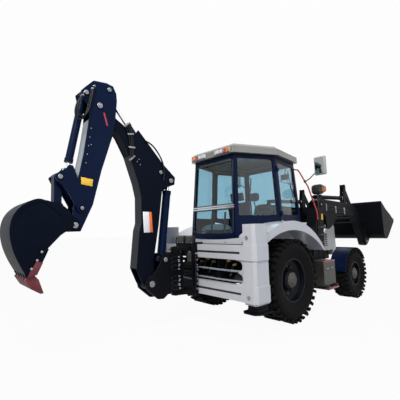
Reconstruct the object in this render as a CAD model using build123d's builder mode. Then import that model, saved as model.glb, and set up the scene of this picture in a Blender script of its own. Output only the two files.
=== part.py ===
from build123d import *
from math import cos, radians, sin
import os

os.makedirs("parts", exist_ok=True)

# Driving dimensions, in mm. X points forward, Y to the machine's left, Z up.
# Stations along X are given from the rear axle, which lies at rear_axle_x.
rear_axle_x = -503.0
wheelbase = 2350.0
swing_back = 1350.0
carriage_shift = 300.0
front_axle_x = rear_axle_x + wheelbase
swing_x = rear_axle_x - swing_back

# Clearances
fit = 0.05
seat_gap = 0.3
running_gap = 5.0


# Planes of the side views. A forward plane's points are (x ahead of the rear axle, z);
# an aft plane's points are (distance behind the swing pin, z).
def forward(y):
    return Plane(origin=(rear_axle_x, y, 0), x_dir=(1, 0, 0), z_dir=(0, -1, 0))


def aft(y):
    return Plane(origin=(swing_x, carriage_shift + y, 0), x_dir=(-1, 0, 0), z_dir=(0, 1, 0))


def slab(plane, outline, thickness, corner=0.0):
    """A flat plate centred on its plane, from a closed outline with rounded corners."""
    with BuildPart() as piece:
        with BuildSketch(plane) as shape:
            with BuildLine():
                Polyline(*outline, close=True)
            make_face()
            if corner > 0:
                fillet(shape.vertices(), corner)
        extrude(amount=thickness / 2, both=True)
    return piece.part


def strip(plane, line, thickness, width):
    """A plate of constant thickness bent along an open line, seen edge on."""
    with BuildPart() as piece:
        with BuildSketch(plane):
            with BuildLine():
                Polyline(*line)
            trace(line_width=thickness)
        extrude(amount=width / 2, both=True)
    return piece.part


def disc(plane, centre, radius, width, bore=0.0):
    """A round boss, pin or cross tube whose axis crosses its plane."""
    with BuildPart() as piece:
        with BuildSketch(plane):
            with Locations(centre):
                Circle(radius)
                if bore > 0:
                    Circle(bore, mode=Mode.SUBTRACT)
        extrude(amount=width / 2, both=True)
    return piece.part


# Hydraulic rams: tube radius, bore radius, rod radius, eye radius, eye width, pin radius,
# and the length between pins when fully closed
boom_ram = dict(tube=66, bore=55, rod=32, eye=62, width=80, pin=27, closed=1180)
dipper_ram = dict(tube=60, bore=50, rod=30, eye=56, width=70, pin=25, closed=960)
bucket_ram = dict(tube=50, bore=42, rod=25, eye=48, width=60, pin=22, closed=1055)
lift_ram = dict(tube=56, bore=47, rod=28, eye=52, width=60, pin=24, closed=1005)
tilt_ram = dict(tube=46, bore=38, rod=24, eye=46, width=50, pin=22, closed=1290)


def ram_axis(plane, base, tip):
    start = plane.from_local_coords(Vector(base[0], base[1], 0))
    end = plane.from_local_coords(Vector(tip[0], tip[1], 0))
    return Plane(origin=start, x_dir=plane.z_dir, z_dir=end - start), (end - start).length


gland_length = 55.0
piston_length = 50.0
end_cap = 70.0


def ram_barrel(plane, base, tip, size):
    """The barrel, with its eye round the base pin and its bore open at the gland."""
    axis, _ = ram_axis(plane, base, tip)
    tube_end = size["closed"] - size["eye"] - 2 * running_gap
    tube_start = size["eye"] + 12
    bore_start = tube_start + end_cap / 2
    upward = (Align.CENTER, Align.CENTER, Align.MIN)
    with BuildPart(axis) as piece:
        Cylinder(size["eye"], size["width"], rotation=(0, 90, 0))
        Cylinder(size["width"] * 0.42, tube_start + 5, align=upward)
        with Locations((0, 0, tube_start)):
            Cylinder(size["tube"], tube_end - tube_start, align=upward)
        with Locations((0, 0, tube_end - gland_length)):
            Cylinder(size["tube"] + 6, gland_length, align=upward)
        with Locations((0, 0, bore_start)):
            Cylinder(size["bore"], tube_end - gland_length - bore_start, align=upward, mode=Mode.SUBTRACT)
            Cylinder(size["rod"] + fit, tube_end, align=upward, mode=Mode.SUBTRACT)
        Cylinder(size["pin"] + fit, 2 * size["width"], rotation=(0, 90, 0), mode=Mode.SUBTRACT)
    return piece.part


def ram_rod(plane, base, tip, size):
    """The rod, from its piston in the barrel to its eye, which holds its own pin stub."""
    axis, length = ram_axis(plane, base, tip)
    rod_length = size["closed"] - size["eye"] - end_cap - running_gap
    with BuildPart(axis) as piece:
        with Locations((0, 0, length - rod_length)):
            Cylinder(size["rod"], rod_length - size["eye"] / 2,
                     align=(Align.CENTER, Align.CENTER, Align.MIN))
            Cylinder(size["bore"] - fit, piston_length, align=(Align.CENTER, Align.CENTER, Align.MIN))
        with Locations((0, 0, length)):
            Cylinder(size["eye"], size["width"], rotation=(0, 90, 0))
    return piece.part


# Backhoe pins, in the aft plane
boom_foot = (540, 720)
boom_ram_base = (290, 1060)
boom_ram_tip = (130, 2320)
dipper_ram_base = (330, 2440)
dipper_ram_tip = (1210, 3550)
dipper_pivot = (1350, 3280)
bucket_ram_base = (1540, 3420)
bucket_ram_tip = (1750, 2330)
lever_pivot = (1600, 1830)
lever_top = (1870, 2220)
link_foot = (1870, 1840)
bucket_pivot = (1680, 1610)

# Backhoe widths
boom_width = 190.0
boom_plate = 14.0
cheek_gap = 6.0
cheek_plate = 28.0
dipper_gap = 6.0
dipper_plate = 14.0
foot_pin = 32.0
pivot_pin = 30.0
small_pin = 26.0
pin_head = 10.0
cheek_y = boom_width / 2 + cheek_gap + cheek_plate / 2
dipper_side_y = boom_width / 2 + dipper_gap + dipper_plate / 2
dipper_width = 2 * (dipper_side_y + dipper_plate / 2)


# Tyres and rims
# Columns: node ending, centre x, centre y, side, tyre radius, width, rim radius, lugs a side
rear_tyre = dict(radius=660.0, width=460.0, rim=345.0, lugs=18, lug_height=34.0)
front_tyre = dict(radius=500.0, width=350.0, rim=245.0, lugs=16, lug_height=26.0)
rear_wheel_y = 870.0
front_wheel_y = 915.0
rear_spindle = 60.0
front_spindle = 45.0
wheel_table = (
    ("rear_left", rear_axle_x, rear_wheel_y, 1, rear_tyre, rear_spindle),
    ("rear_right", rear_axle_x, -rear_wheel_y, -1, rear_tyre, rear_spindle),
    ("front_left", front_axle_x, front_wheel_y, 1, front_tyre, front_spindle),
    ("front_right", front_axle_x, -front_wheel_y, -1, front_tyre, front_spindle),
)
lug_width = 48.0
lug_root = 30.0


def tyre(size):
    """A tyre turned about Z, with two staggered rows of slanted lugs."""
    radius = size["radius"]
    body = radius - size["lug_height"]
    half = size["width"] / 2
    with BuildPart() as lug:
        with BuildSketch(Plane(origin=(body - lug_root, 0, 0), x_dir=(0, 0, 1), z_dir=(1, 0, 0))):
            with BuildLine():
                Polyline((-10, -lug_width * 0.9), (half * 0.98, lug_width * 0.5),
                         (half * 0.98, lug_width * 1.5), (-10, lug_width * 0.1), close=True)
            make_face()
        extrude(amount=size["lug_height"] + lug_width)
        Cylinder(radius, size["width"], mode=Mode.INTERSECT)
    with BuildPart() as other_lug:
        add(lug.part)
        mirror(about=Plane.XY, mode=Mode.REPLACE)
    with BuildPart() as whole:
        with BuildSketch(Plane.XZ):
            with BuildLine():
                Polyline((size["rim"], -half * 0.78), (size["rim"] + 45, -half * 0.86),
                         (radius - 150, -half), (body - 55, -half * 0.95), (body, -half * 0.70),
                         (body, half * 0.70), (body - 55, half * 0.95), (radius - 150, half),
                         (size["rim"] + 45, half * 0.86), (size["rim"], half * 0.78), close=True)
            make_face()
        revolve(axis=Axis.Z)
        with PolarLocations(0, size["lugs"]):
            add(lug.part)
        with PolarLocations(0, size["lugs"], start_angle=180 / size["lugs"]):
            add(other_lug.part)
    return whole.part


def rim(size, spindle):
    """A dished wheel: band, flanges, disc and hub, in one solid turned about Z."""
    half = size["width"] / 2 * 0.78
    band = size["rim"] - seat_gap
    hub = spindle + 90
    with BuildPart() as piece:
        with BuildSketch(Plane.XZ):
            with BuildLine():
                Polyline((band, -half), (band, half), (band - 22, half), (band - 30, half * 0.5),
                         (hub + 30, half * 0.05), (hub, half * 0.62), (hub - 30, half * 0.80),
                         (0, half * 0.80), (0, half * 0.55), (spindle + fit, half * 0.55),
                         (spindle + fit, -half * 0.1), (hub, -half * 0.1), (band - 60, half * 0.1),
                         (band - 30, -half * 0.2), (band - 22, -half), close=True)
            make_face()
        revolve(axis=Axis.Z)
    return piece.part


tyres = {size["lugs"]: tyre(size) for size in (rear_tyre, front_tyre)}
for name, centre_x, centre_y, side, size, spindle in wheel_table:
    axle = Plane(origin=(centre_x, centre_y, size["radius"]), x_dir=(1, 0, 0), z_dir=(0, side, 0))
    with BuildPart(axle) as placed:
        add(tyres[size["lugs"]])
    placed.part.label = "tyre_" + name
    export_step(placed.part, "parts/tyre_" + name + ".step")
    with BuildPart(axle) as placed:
        add(rim(size, spindle))
    placed.part.label = "rim_" + name
    export_step(placed.part, "parts/rim_" + name + ".step")


def save(piece, name):
    piece.part.label = name
    export_step(piece.part, "parts/" + name + ".step")


def shifted(pin, dh, dz):
    return (pin[0] + dh, pin[1] + dz)


# Carriage: a plate that slides along the two beams of the rear frame, with the swing bearings
beam_rear = -swing_back + 1080.0
beam_depth = 85.0
upper_beam = (1060.0, 1270.0)
lower_beam = (480.0, 700.0)
carriage_half = 250.0
carriage_plate = 44.0
swing_pin = 36.0
upper_lug = (1175.0, 1235.0)
lower_lug = (465.0, 525.0)
lug_half = 95.0
lug_reach = 80.0
hook = 30.0
hook_drop = 50.0

plate_front = beam_rear + seat_gap
plate_back = plate_front + carriage_plate
hook_front = beam_rear - beam_depth - running_gap
with BuildPart() as carriage:
    for low, high in ((upper_beam[0] + 20, upper_beam[1] + hook), (lower_beam[0] - hook, lower_beam[1] - 20)):
        add(slab(aft(0), ((plate_front, low), (plate_back, low), (plate_back, high), (plate_front, high)),
                 2 * carriage_half))
    for z, sign in ((upper_beam[1], 1), (lower_beam[0], -1)):
        hook_line = ((plate_front, z + seat_gap * sign), (plate_front, z + hook * sign),
                     (hook_front - hook, z + hook * sign), (hook_front - hook, z - hook_drop * sign),
                     (hook_front, z - hook_drop * sign), (hook_front, z + seat_gap * sign))
        add(slab(aft(0), hook_line, 2 * carriage_half))
    for y in (-carriage_half + 20, carriage_half - 20):
        add(slab(aft(y), ((plate_front, lower_beam[0]), (plate_back + 60, lower_beam[0] + 60),
                          (plate_back + 60, upper_beam[1] - 60), (plate_front, upper_beam[1])), 40))
    for low, high in (upper_lug, lower_lug):
        with BuildSketch(Plane(origin=(swing_x, carriage_shift, low), x_dir=(-1, 0, 0), z_dir=(0, 0, 1))):
            with BuildLine():
                Polyline((0, lug_reach), (plate_back - 10, lug_half + 60), (plate_back - 10, -lug_half - 60),
                         (0, -lug_reach), (lug_reach, 0), close=True)
            make_face()
            Circle(lug_reach)
            Circle(swing_pin + fit, mode=Mode.SUBTRACT)
        extrude(amount=high - low)
    # the two cover plates that stand over the clamps, and the valve block in front of the plate
    for y in (-120, 120):
        add(slab(aft(y), ((plate_front + 6, upper_beam[1] + 10), (plate_front + 24, upper_beam[1] + 10),
                          (plate_front + 24, upper_beam[1] + 145), (plate_front + 6, upper_beam[1] + 145)),
                 190))
    # swing drive: two short cylinders lying across, on the plate
    for z in (800, 920):
        add(disc(aft(0), (plate_back + 34, z), 42, 2 * carriage_half - 60))
save(carriage, "carriage")

# Kingpost: two cheeks with a round trunk that turns between the carriage's lugs
with BuildPart() as kingpost:
    cheek = ((-60, 1140), (60, 1150), (210, 1160), (340, 1150), (375, 1010), (470, 890), (600, 830),
             (655, 740), (630, 650), (560, 590), (430, 480), (330, 470), (220, 545), (-60, 545))
    for y in (-cheek_y, cheek_y):
        add(slab(aft(y), cheek, cheek_plate, corner=18))
    add(slab(aft(0), ((-60, lower_lug[1] + 30), (110, lower_lug[1] + 30), (110, upper_lug[0] - 35),
                      (-60, upper_lug[0] - 35)), 2 * cheek_y))
    with BuildSketch(Plane(origin=(swing_x, carriage_shift, lower_lug[1] + running_gap))):
        Circle(78)
    extrude(amount=upper_lug[0] - lower_lug[1] - 2 * running_gap)
    with BuildSketch(Plane(origin=(swing_x, carriage_shift, lower_lug[0] - 12))):
        Circle(swing_pin)
    extrude(amount=upper_lug[1] - lower_lug[0] + 24)
    add(disc(aft(0), boom_foot, foot_pin, 2 * cheek_y + cheek_plate + 2 * pin_head))
    add(disc(aft(0), boom_ram_base, boom_ram["pin"], 2 * cheek_y + cheek_plate + 2 * pin_head))
    for y in (-1, 1):
        inner = boom_ram["width"] / 2 + running_gap
        outer = cheek_y
        add(disc(aft(y * (inner + outer) / 2), boom_ram_base, 46, outer - inner))
        for pin, radius in ((boom_foot, 52), (boom_ram_base, 44)):
            add(disc(aft(y * (cheek_y + cheek_plate / 2 + pin_head / 2)), pin, radius, pin_head))
save(kingpost, "kingpost")

# Boom: two side plates joined by bent strips, open at the top for the dipper ram
boom_side = ((430, 700), (480, 890), (480, 1070), (380, 1600), (310, 2130), (190, 2215), (60, 2260),
             (45, 2380), (280, 2580), (730, 3060), (790, 2965), (1090, 3150), (1255, 3285), (1295, 3370),
             (1405, 3370), (1475, 3290), (1410, 3190), (1240, 3160), (1030, 2900), (880, 2630), (740, 2230),
             (690, 2020), (690, 1630), (725, 1520), (780, 960), (680, 740), (580, 610), (470, 620))
boom_side_y = boom_width / 2 - boom_plate / 2
inner_width = boom_width - 2 * boom_plate + 2
with BuildPart() as boom:
    for y in (-boom_side_y, boom_side_y):
        add(slab(aft(y), boom_side, boom_plate, corner=14))
    rear_line = ((768, 965), (713, 1520), (680, 1628), (680, 2022), (730, 2234), (868, 2634),
                 (1018, 2908), (1228, 3170))
    front_line = ((488, 1080), (390, 1600), (322, 2120), (420, 2330), (800, 2800), (1050, 3040),
                  (1240, 3230))
    add(strip(aft(0), rear_line, boom_plate, inner_width))
    add(strip(aft(0), front_line, boom_plate, inner_width))
    add(disc(aft(0), boom_foot, 92, boom_width))
    add(disc(aft(0), boom_foot, foot_pin + fit, boom_width + 2), mode=Mode.SUBTRACT)
    add(disc(aft(0), dipper_pivot, 88, boom_width))
    add(disc(aft(0), dipper_pivot, pivot_pin + fit, boom_width + 2), mode=Mode.SUBTRACT)
    add(disc(aft(0), dipper_ram_base, dipper_ram["pin"], boom_width + 2 * pin_head))
    for y in (-1, 1):
        for pin, radius in ((boom_ram_tip, 48), (dipper_ram_base, 40)):
            add(disc(aft(y * (boom_width / 2 + pin_head / 2)), pin, radius, pin_head))
        inner = dipper_ram["width"] / 2 + running_gap
        add(disc(aft(y * (inner + boom_side_y) / 2), dipper_ram_base, 42, boom_side_y - inner))
        inner = boom_ram["width"] / 2 + running_gap
        add(disc(aft(y * (inner + boom_side_y) / 2), boom_ram_tip, 54, boom_side_y - inner))
save(boom, "boom")

# Dipper: side plates outside the boom's nose, closed to a box below it
dipper_side = ((1440, 3620), (1250, 3640), (1150, 3620), (1100, 3520), (1090, 3410), (1120, 3080),
               (1160, 2870), (1320, 2360), (1440, 1880), (1600, 1530), (1720, 1530), (1760, 1640),
               (1700, 1760), (1690, 1850), (1640, 2200), (1560, 2600), (1500, 3000), (1490, 3200),
               (1590, 3340), (1610, 3430), (1560, 3490))
dipper_inner = dipper_width - 2 * dipper_plate + 2
with BuildPart() as dipper:
    for y in (-dipper_side_y, dipper_side_y):
        add(slab(aft(y), dipper_side, dipper_plate, corner=14))
    add(strip(aft(0), ((1196, 2790), (1332, 2362), (1452, 1882), (1590, 1580)), dipper_plate, dipper_inner))
    add(strip(aft(0), ((1478, 3060), (1548, 2600), (1627, 2200), (1650, 2040)), dipper_plate, dipper_inner))
    add(disc(aft(0), dipper_pivot, pivot_pin, dipper_width + 2 * pin_head))
    add(disc(aft(0), bucket_ram_base, bucket_ram["pin"], dipper_width + 2 * pin_head))
    add(disc(aft(0), lever_pivot, 60, dipper_width))
    add(disc(aft(0), lever_pivot, small_pin, dipper_width + 2 * 50))
    add(disc(aft(0), bucket_pivot, 62, dipper_width))
    add(disc(aft(0), bucket_pivot, pivot_pin + fit, dipper_width + 2), mode=Mode.SUBTRACT)
    for y in (-1, 1):
        for pin, radius in ((dipper_pivot, 50), (bucket_ram_base, 40), (dipper_ram_tip, 40)):
            add(disc(aft(y * (dipper_width / 2 + pin_head / 2)), pin, radius, pin_head))
        for pin, size in ((bucket_ram_base, bucket_ram), (dipper_ram_tip, dipper_ram)):
            inner = size["width"] / 2 + running_gap
            add(disc(aft(y * (inner + dipper_side_y) / 2), pin, 42, dipper_side_y - inner))
save(dipper, "dipper")

# Rams of the backhoe
# Columns: name, base pin, tip pin, size
for name, base, tip, size in (("boom", boom_ram_base, boom_ram_tip, boom_ram),
                              ("dipper", dipper_ram_base, dipper_ram_tip, dipper_ram),
                              ("bucket", bucket_ram_base, bucket_ram_tip, bucket_ram)):
    for ending, piece in (("barrel", ram_barrel(aft(0), base, tip, size)),
                          ("rod", ram_rod(aft(0), base, tip, size))):
        piece.label = name + "_ram_" + ending
        export_step(piece, "parts/" + piece.label + ".step")

# Tipping lever: two curved plates outside the dipper, joined by a tube at the link's pin
lever_plate = 22.0
lever_y = dipper_width / 2 + cheek_gap + lever_plate / 2
lever_side = ((1560, 1790), (1640, 1780), (1700, 1900), (1790, 2060), (1900, 2160), (1935, 2230),
              (1880, 2285), (1800, 2330), (1765, 2385), (1715, 2380), (1690, 2330), (1640, 2200),
              (1560, 1980))
with BuildPart() as tipping_lever:
    for y in (-lever_y, lever_y):
        add(slab(aft(y), lever_side, lever_plate, corner=16))
        add(disc(aft(y), lever_pivot, 52, lever_plate))
        add(disc(aft(y), lever_pivot, small_pin + fit, lever_plate + 2), mode=Mode.SUBTRACT)
    add(disc(aft(0), lever_top, small_pin, 2 * lever_y + lever_plate + 2 * pin_head))
    for y in (-1, 1):
        inner = bucket_ram["width"] / 2 + running_gap
        add(disc(aft(y * (inner + lever_y) / 2), bucket_ram_tip, 36, lever_y - inner))
        add(disc(aft(y * (lever_y + lever_plate / 2 + pin_head / 2)), lever_top, 36, pin_head))
save(tipping_lever, "tipping_lever")

# Bucket link: a box between the lever's top pin and the bucket's ears
link_width = 130.0
with BuildPart() as bucket_link:
    add(slab(aft(0), (shifted(lever_top, -48, 0), shifted(lever_top, 48, 0), shifted(link_foot, 46, 0),
                      shifted(link_foot, -46, 0)), link_width))
    for pin in (lever_top, link_foot):
        add(disc(aft(0), pin, 50, link_width))
    add(disc(aft(0), lever_top, small_pin + fit, link_width + 2), mode=Mode.SUBTRACT)
save(bucket_link, "bucket_link")

# Backhoe bucket: a bent shell between two side plates, with ears, side cutters and teeth
backhoe_bucket_width = 600.0
shell_plate = 16.0
side_plate = 16.0
shell_line = ((1830, 1590), (1850, 1720), (1950, 1800), (2060, 1880), (2160, 1900), (2290, 1835),
              (2380, 1720), (2412, 1560), (2385, 1380), (2320, 1210), (2240, 1060))
side_outline = ((1740, 1600), (1790, 1775), (1880, 1850), (2050, 1900), (2160, 1912), (2296, 1846),
                (2388, 1722), (2420, 1560), (2392, 1376), (2327, 1206), (2247, 1057), (2160, 1080),
                (2040, 1340), (1900, 1490))
tooth_count = 5
tooth_width = 62.0
ear_plate = 24.0
ear_y = link_width / 2 + running_gap + ear_plate / 2
pivot_ear_y = dipper_width / 2 + running_gap + ear_plate / 2
with BuildPart() as backhoe_bucket:
    add(strip(aft(0), shell_line, shell_plate, backhoe_bucket_width))
    for y in (-1, 1):
        add(slab(aft(y * (backhoe_bucket_width - side_plate) / 2), side_outline, side_plate))
        cutter = ((2247, 1045), (2150, 1065), (2030, 1335), (2075, 1365), (2215, 1110))
        add(slab(aft(y * (backhoe_bucket_width / 2 + 7)), cutter, 14))
        add(slab(aft(y * pivot_ear_y), ((1610, 1600), (1650, 1540), (1740, 1545), (1830, 1560),
                                        (1830, 1800), (1760, 1780), (1640, 1680)), ear_plate, corner=12))
        add(slab(aft(y * ear_y), ((1815, 1820), (1815, 1880), (1850, 1905), (1920, 1895), (2060, 1880),
                                  (1950, 1790), (1870, 1730)), ear_plate, corner=12))
        add(disc(aft(y * (pivot_ear_y + ear_plate / 2 + pin_head / 2)), bucket_pivot, 46, pin_head))
        add(disc(aft(y * (ear_y + ear_plate / 2 + pin_head / 2)), link_foot, 40, pin_head))
    add(disc(aft(0), bucket_pivot, pivot_pin, 2 * pivot_ear_y + ear_plate))
    pitch = (backhoe_bucket_width - tooth_width - 20) / (tooth_count - 1)
    for index in range(tooth_count):
        y = (index - (tooth_count - 1) / 2) * pitch
        add(slab(aft(y), ((2265, 1120), (2215, 1110), (2130, 1010), (2075, 850), (2100, 850),
                          (2190, 930), (2262, 1060)), tooth_width))
save(backhoe_bucket, "backhoe_bucket")

# Chassis: two rails with their cross members
rail_y = 300.0
rail_width = 60.0
rail_low = 750.0
rail_high = 950.0
rail_rear = -900.0
rail_front = 2700.0
tower_gap = 20.0
arm_y = 700.0
arm_width = 120.0
tower_plate = 20.0
tower_in = arm_y - arm_width / 2 - tower_gap - tower_plate / 2
tower_out = arm_y + arm_width / 2 + tower_gap + tower_plate / 2
cross_beam = (1250.0, 1430.0, 620.0, 750.0)
bracket_low = 620.0
cab_low = 1000.0
tow_reach = 90.0
tow_bore = 20.0
tow_plate = 30.0

# Loader pins, in the forward plane
arm_pivot = (1550, 1950)
lift_base = (880, 740)
lift_tip = (1890, 1500)
tilt_base = (1800, 2140)
tilt_tip = (3150, 2175)
crank_pivot = (3200, 1850)
bucket_hinge = (3780, 1100)
bucket_top_pin = (3776, 1710)
crank_top = (crank_pivot[0] + bucket_top_pin[0] - bucket_hinge[0],
             crank_pivot[1] + bucket_top_pin[1] - bucket_hinge[1])
tilt_y = 550.0
arm_pin = 34.0
lift_pin = lift_ram["pin"]
crank_pin = 28.0

tower_side = ((815, 660), (805, 780), (860, 840), (960, 880), (1130, 960), (1300, 1600), (1430, 2000),
              (1550, 2070), (1650, 2010), (1660, 1900), (1600, 1500), (1570, 1000), (1570, 640))
with BuildPart() as chassis_frame:
    for y in (-rail_y, rail_y):
        add(slab(forward(y), ((rail_rear, rail_low), (rail_front, rail_low), (rail_front, rail_high),
                              (rail_rear, rail_high)), rail_width))
    for low, high in ((-880, -800), (2560, rail_front)):
        add(slab(forward(0), ((low, rail_low), (high, rail_low), (high, rail_low + 60),
                              (low, rail_low + 60)), 2 * rail_y))
    add(slab(forward(0), ((2250, bracket_low), (2450, bracket_low), (2450, rail_low), (2250, rail_low)),
             2 * rail_y + rail_width))
    # cab mounts on the rails, and the tow tongue on the front member
    for x in (-560, 620):
        for y in (-rail_y, rail_y):
            with BuildSketch(Plane(origin=(rear_axle_x + x, y, rail_high))):
                Circle(40)
            extrude(amount=cab_low - seat_gap - rail_high)
    with BuildSketch(Plane(origin=(rear_axle_x + rail_front, 0, rail_low + 15))):
        with Locations((20, 0)):
            Rectangle(140, 140)
        with Locations((tow_reach, 0)):
            Circle(70)
            Circle(tow_bore, mode=Mode.SUBTRACT)
    extrude(amount=tow_plate)
save(chassis_frame, "chassis_frame")

# Loader towers: two pairs of plates on the cross beam that is welded under the rails
with BuildPart() as loader_towers:
    beam_low, beam_high = cross_beam[2], cross_beam[3] - seat_gap
    add(slab(forward(0), ((cross_beam[0], beam_low), (cross_beam[1], beam_low),
                          (cross_beam[1], beam_high), (cross_beam[0], beam_high)),
             2 * tower_out + tower_plate))
    for y in (-tower_in, tower_in, -tower_out, tower_out):
        add(slab(forward(y), tower_side, tower_plate, corner=20))
    for y in (-arm_y, arm_y):
        add(slab(forward(y), ((1245, 1500), (1262, 1500), (1400, 1890), (1383, 1890)),
                 tower_out - tower_in))
        add(disc(forward(y), arm_pivot, arm_pin, tower_out - tower_in + tower_plate + 2 * pin_head))
        add(disc(forward(y), lift_base, lift_pin, tower_out - tower_in + tower_plate + 2 * pin_head))
        for side in (-1, 1):
            inner = lift_ram["width"] / 2 + running_gap
            outer = (tower_out - tower_in) / 2
            add(disc(forward(y + side * (inner + outer) / 2), lift_base, 42, outer - inner))
            inner = arm_width / 2 + running_gap
            add(disc(forward(y + side * (inner + outer) / 2), arm_pivot, 70, outer - inner))
            outer = outer + tower_plate / 2 + pin_head / 2
            add(disc(forward(y + side * outer), arm_pivot, 55, pin_head))
            add(disc(forward(y + side * outer), lift_base, 40, pin_head))
save(loader_towers, "loader_towers")

# Rear frame: two slotted beams, two leg columns and their webs
column_in = 940.0
column_out = 1140.0
column_back = -1080.0
column_front = -780.0
column_low = 455.0
column_high = 1570.0
column_wall = 25.0
collar = 12.0
column_bevel = 38.0
slot_length = 1740.0
slot_height = 32.0
slot_depth = 8.0
leg_gap = 0.5
foot_height = 60.0
foot_low = 345.0
leg_high = 1440.0


def box_between(low, high):
    """A block between two opposite corners, given from the rear axle."""
    centre = Vector((low[0] + high[0]) / 2 + rear_axle_x, (low[1] + high[1]) / 2, (low[2] + high[2]) / 2)
    with BuildPart(Plane(origin=centre)) as piece:
        Box(high[0] - low[0], high[1] - low[1], high[2] - low[2])
    return piece.part


def column_block(side, low, high, grow):
    """One length of a column, bevelled at its outer rear corner."""
    with BuildPart() as piece:
        with BuildSketch(Plane(origin=(rear_axle_x, 0, low))):
            with BuildLine():
                Polyline((column_back - grow, side * column_in),
                         (column_back - grow, side * (column_out - column_bevel)),
                         (column_back + column_bevel, side * (column_out + grow)),
                         (column_front, side * (column_out + grow)),
                         (column_front, side * column_in), close=True)
            make_face()
        extrude(amount=high - low)
    return piece.part


with BuildPart() as rear_frame:
    for low, high in (upper_beam, lower_beam):
        add(box_between((column_back, -column_in, low), (column_back + beam_depth, column_in, high)))
        with BuildSketch(Plane(origin=(rear_axle_x + column_back, 0, (low + high) / 2 - 5),
                               x_dir=(0, 1, 0), z_dir=(1, 0, 0))):
            SlotOverall(slot_length, slot_height)
        extrude(amount=slot_depth, mode=Mode.SUBTRACT)
    for side in (-1, 1):
        add(column_block(side, column_low, column_high, 0))
        for low, high in (upper_beam, lower_beam):
            add(column_block(side, low - 5, high + 5, collar))
        add(slab(forward(side * 345), ((column_back + beam_depth - 5, 1200),
                                       (column_back + beam_depth - 5, 550), (-940, 550), (-700, 700),
                                       (-600, 760), (-600, 940), (-640, 985), (-815, 985), (-840, 1050),
                                       (-940, 1200)), 30))
        with BuildSketch(Plane(origin=(rear_axle_x + (column_back + column_front) / 2,
                                       side * (column_in + column_out) / 2, column_low - 1))):
            Rectangle(column_front - column_back - 2 * column_wall,
                      column_out - column_in - 2 * column_wall)
        extrude(amount=column_high - column_low - 15, mode=Mode.SUBTRACT)
save(rear_frame, "rear_frame")

# Stabiliser legs with their feet
for name, side in (("left", 1), ("right", -1)):
    centre_x = rear_axle_x + (column_back + column_front) / 2
    centre_y = side * (column_in + column_out) / 2
    leg_x = column_front - column_back - 2 * column_wall - 2 * leg_gap
    leg_y = column_out - column_in - 2 * column_wall - 2 * leg_gap
    with BuildPart() as leg:
        with BuildSketch(Plane(origin=(centre_x, centre_y, foot_low + foot_height))):
            Rectangle(leg_x, leg_y)
        extrude(amount=leg_high - foot_low - foot_height)
        with BuildSketch(Plane(origin=(centre_x, centre_y, foot_low))):
            Rectangle(400, 300)
            chamfer(vertices(), 60)
        extrude(amount=18)
        with BuildSketch(Plane(origin=(centre_x, centre_y, foot_low + 18))):
            Rectangle(240, 190)
        extrude(amount=foot_height - 18, taper=10)
    save(leg, "stabiliser_leg_" + name)

# Axles
axle_tube = 85.0
rear_bulge = 190.0
with BuildPart() as rear_axle:
    half = rear_tyre["width"] / 2 * 0.78
    add(disc(forward(0), (0, rear_tyre["radius"]), axle_tube, 2 * (rear_wheel_y - half * 0.1 - 12)))
    add(disc(forward(0), (0, rear_tyre["radius"]), rear_spindle, 2 * (rear_wheel_y + half * 0.55 - 6)))
    with BuildPart(Plane(origin=(rear_axle_x, 0, rear_tyre["radius"])), mode=Mode.PRIVATE) as bulge:
        Sphere(rear_bulge)
    add(bulge.part)
    for side in (-1, 1):
        add(disc(forward(side * rail_y), (0, rear_tyre["radius"]),
                 rail_low - seat_gap - rear_tyre["radius"], 120))
        add(disc(forward(side * (rear_wheel_y - half * 0.1 - 32)), (0, rear_tyre["radius"]), 125, 40))
save(rear_axle, "rear_axle")

kingpin_y = 720.0
kingpin = 26.0
yoke_height = 120.0
knuckle_half = 84.0
front_bulge = 130.0
front_drop = 20.0
with BuildPart() as front_axle:
    z = front_tyre["radius"]
    add(disc(forward(0), (wheelbase, z), 70, 2 * (kingpin_y - 75)))
    with BuildPart(Plane(origin=(front_axle_x, 0, z - front_drop)), mode=Mode.PRIVATE) as bulge:
        Sphere(front_bulge)
    add(bulge.part)
    add(slab(forward(0), ((2270, z), (2430, z), (2430, bracket_low - seat_gap),
                          (2270, bracket_low - seat_gap)), 200))
    for side in (-1, 1):
        add(slab(forward(side * (kingpin_y - 85)), ((2290, z - yoke_height), (2410, z - yoke_height),
                                                   (2410, z + yoke_height), (2290, z + yoke_height)), 50))
        for low in (z - yoke_height, z + yoke_height - 30):
            with BuildSketch(Plane(origin=(front_axle_x, side * kingpin_y, low))):
                Circle(60)
                with Locations((0, -side * 50)):
                    Rectangle(120, 100)
                Circle(kingpin + fit, mode=Mode.SUBTRACT)
            extrude(amount=30)
save(front_axle, "front_axle")

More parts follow.
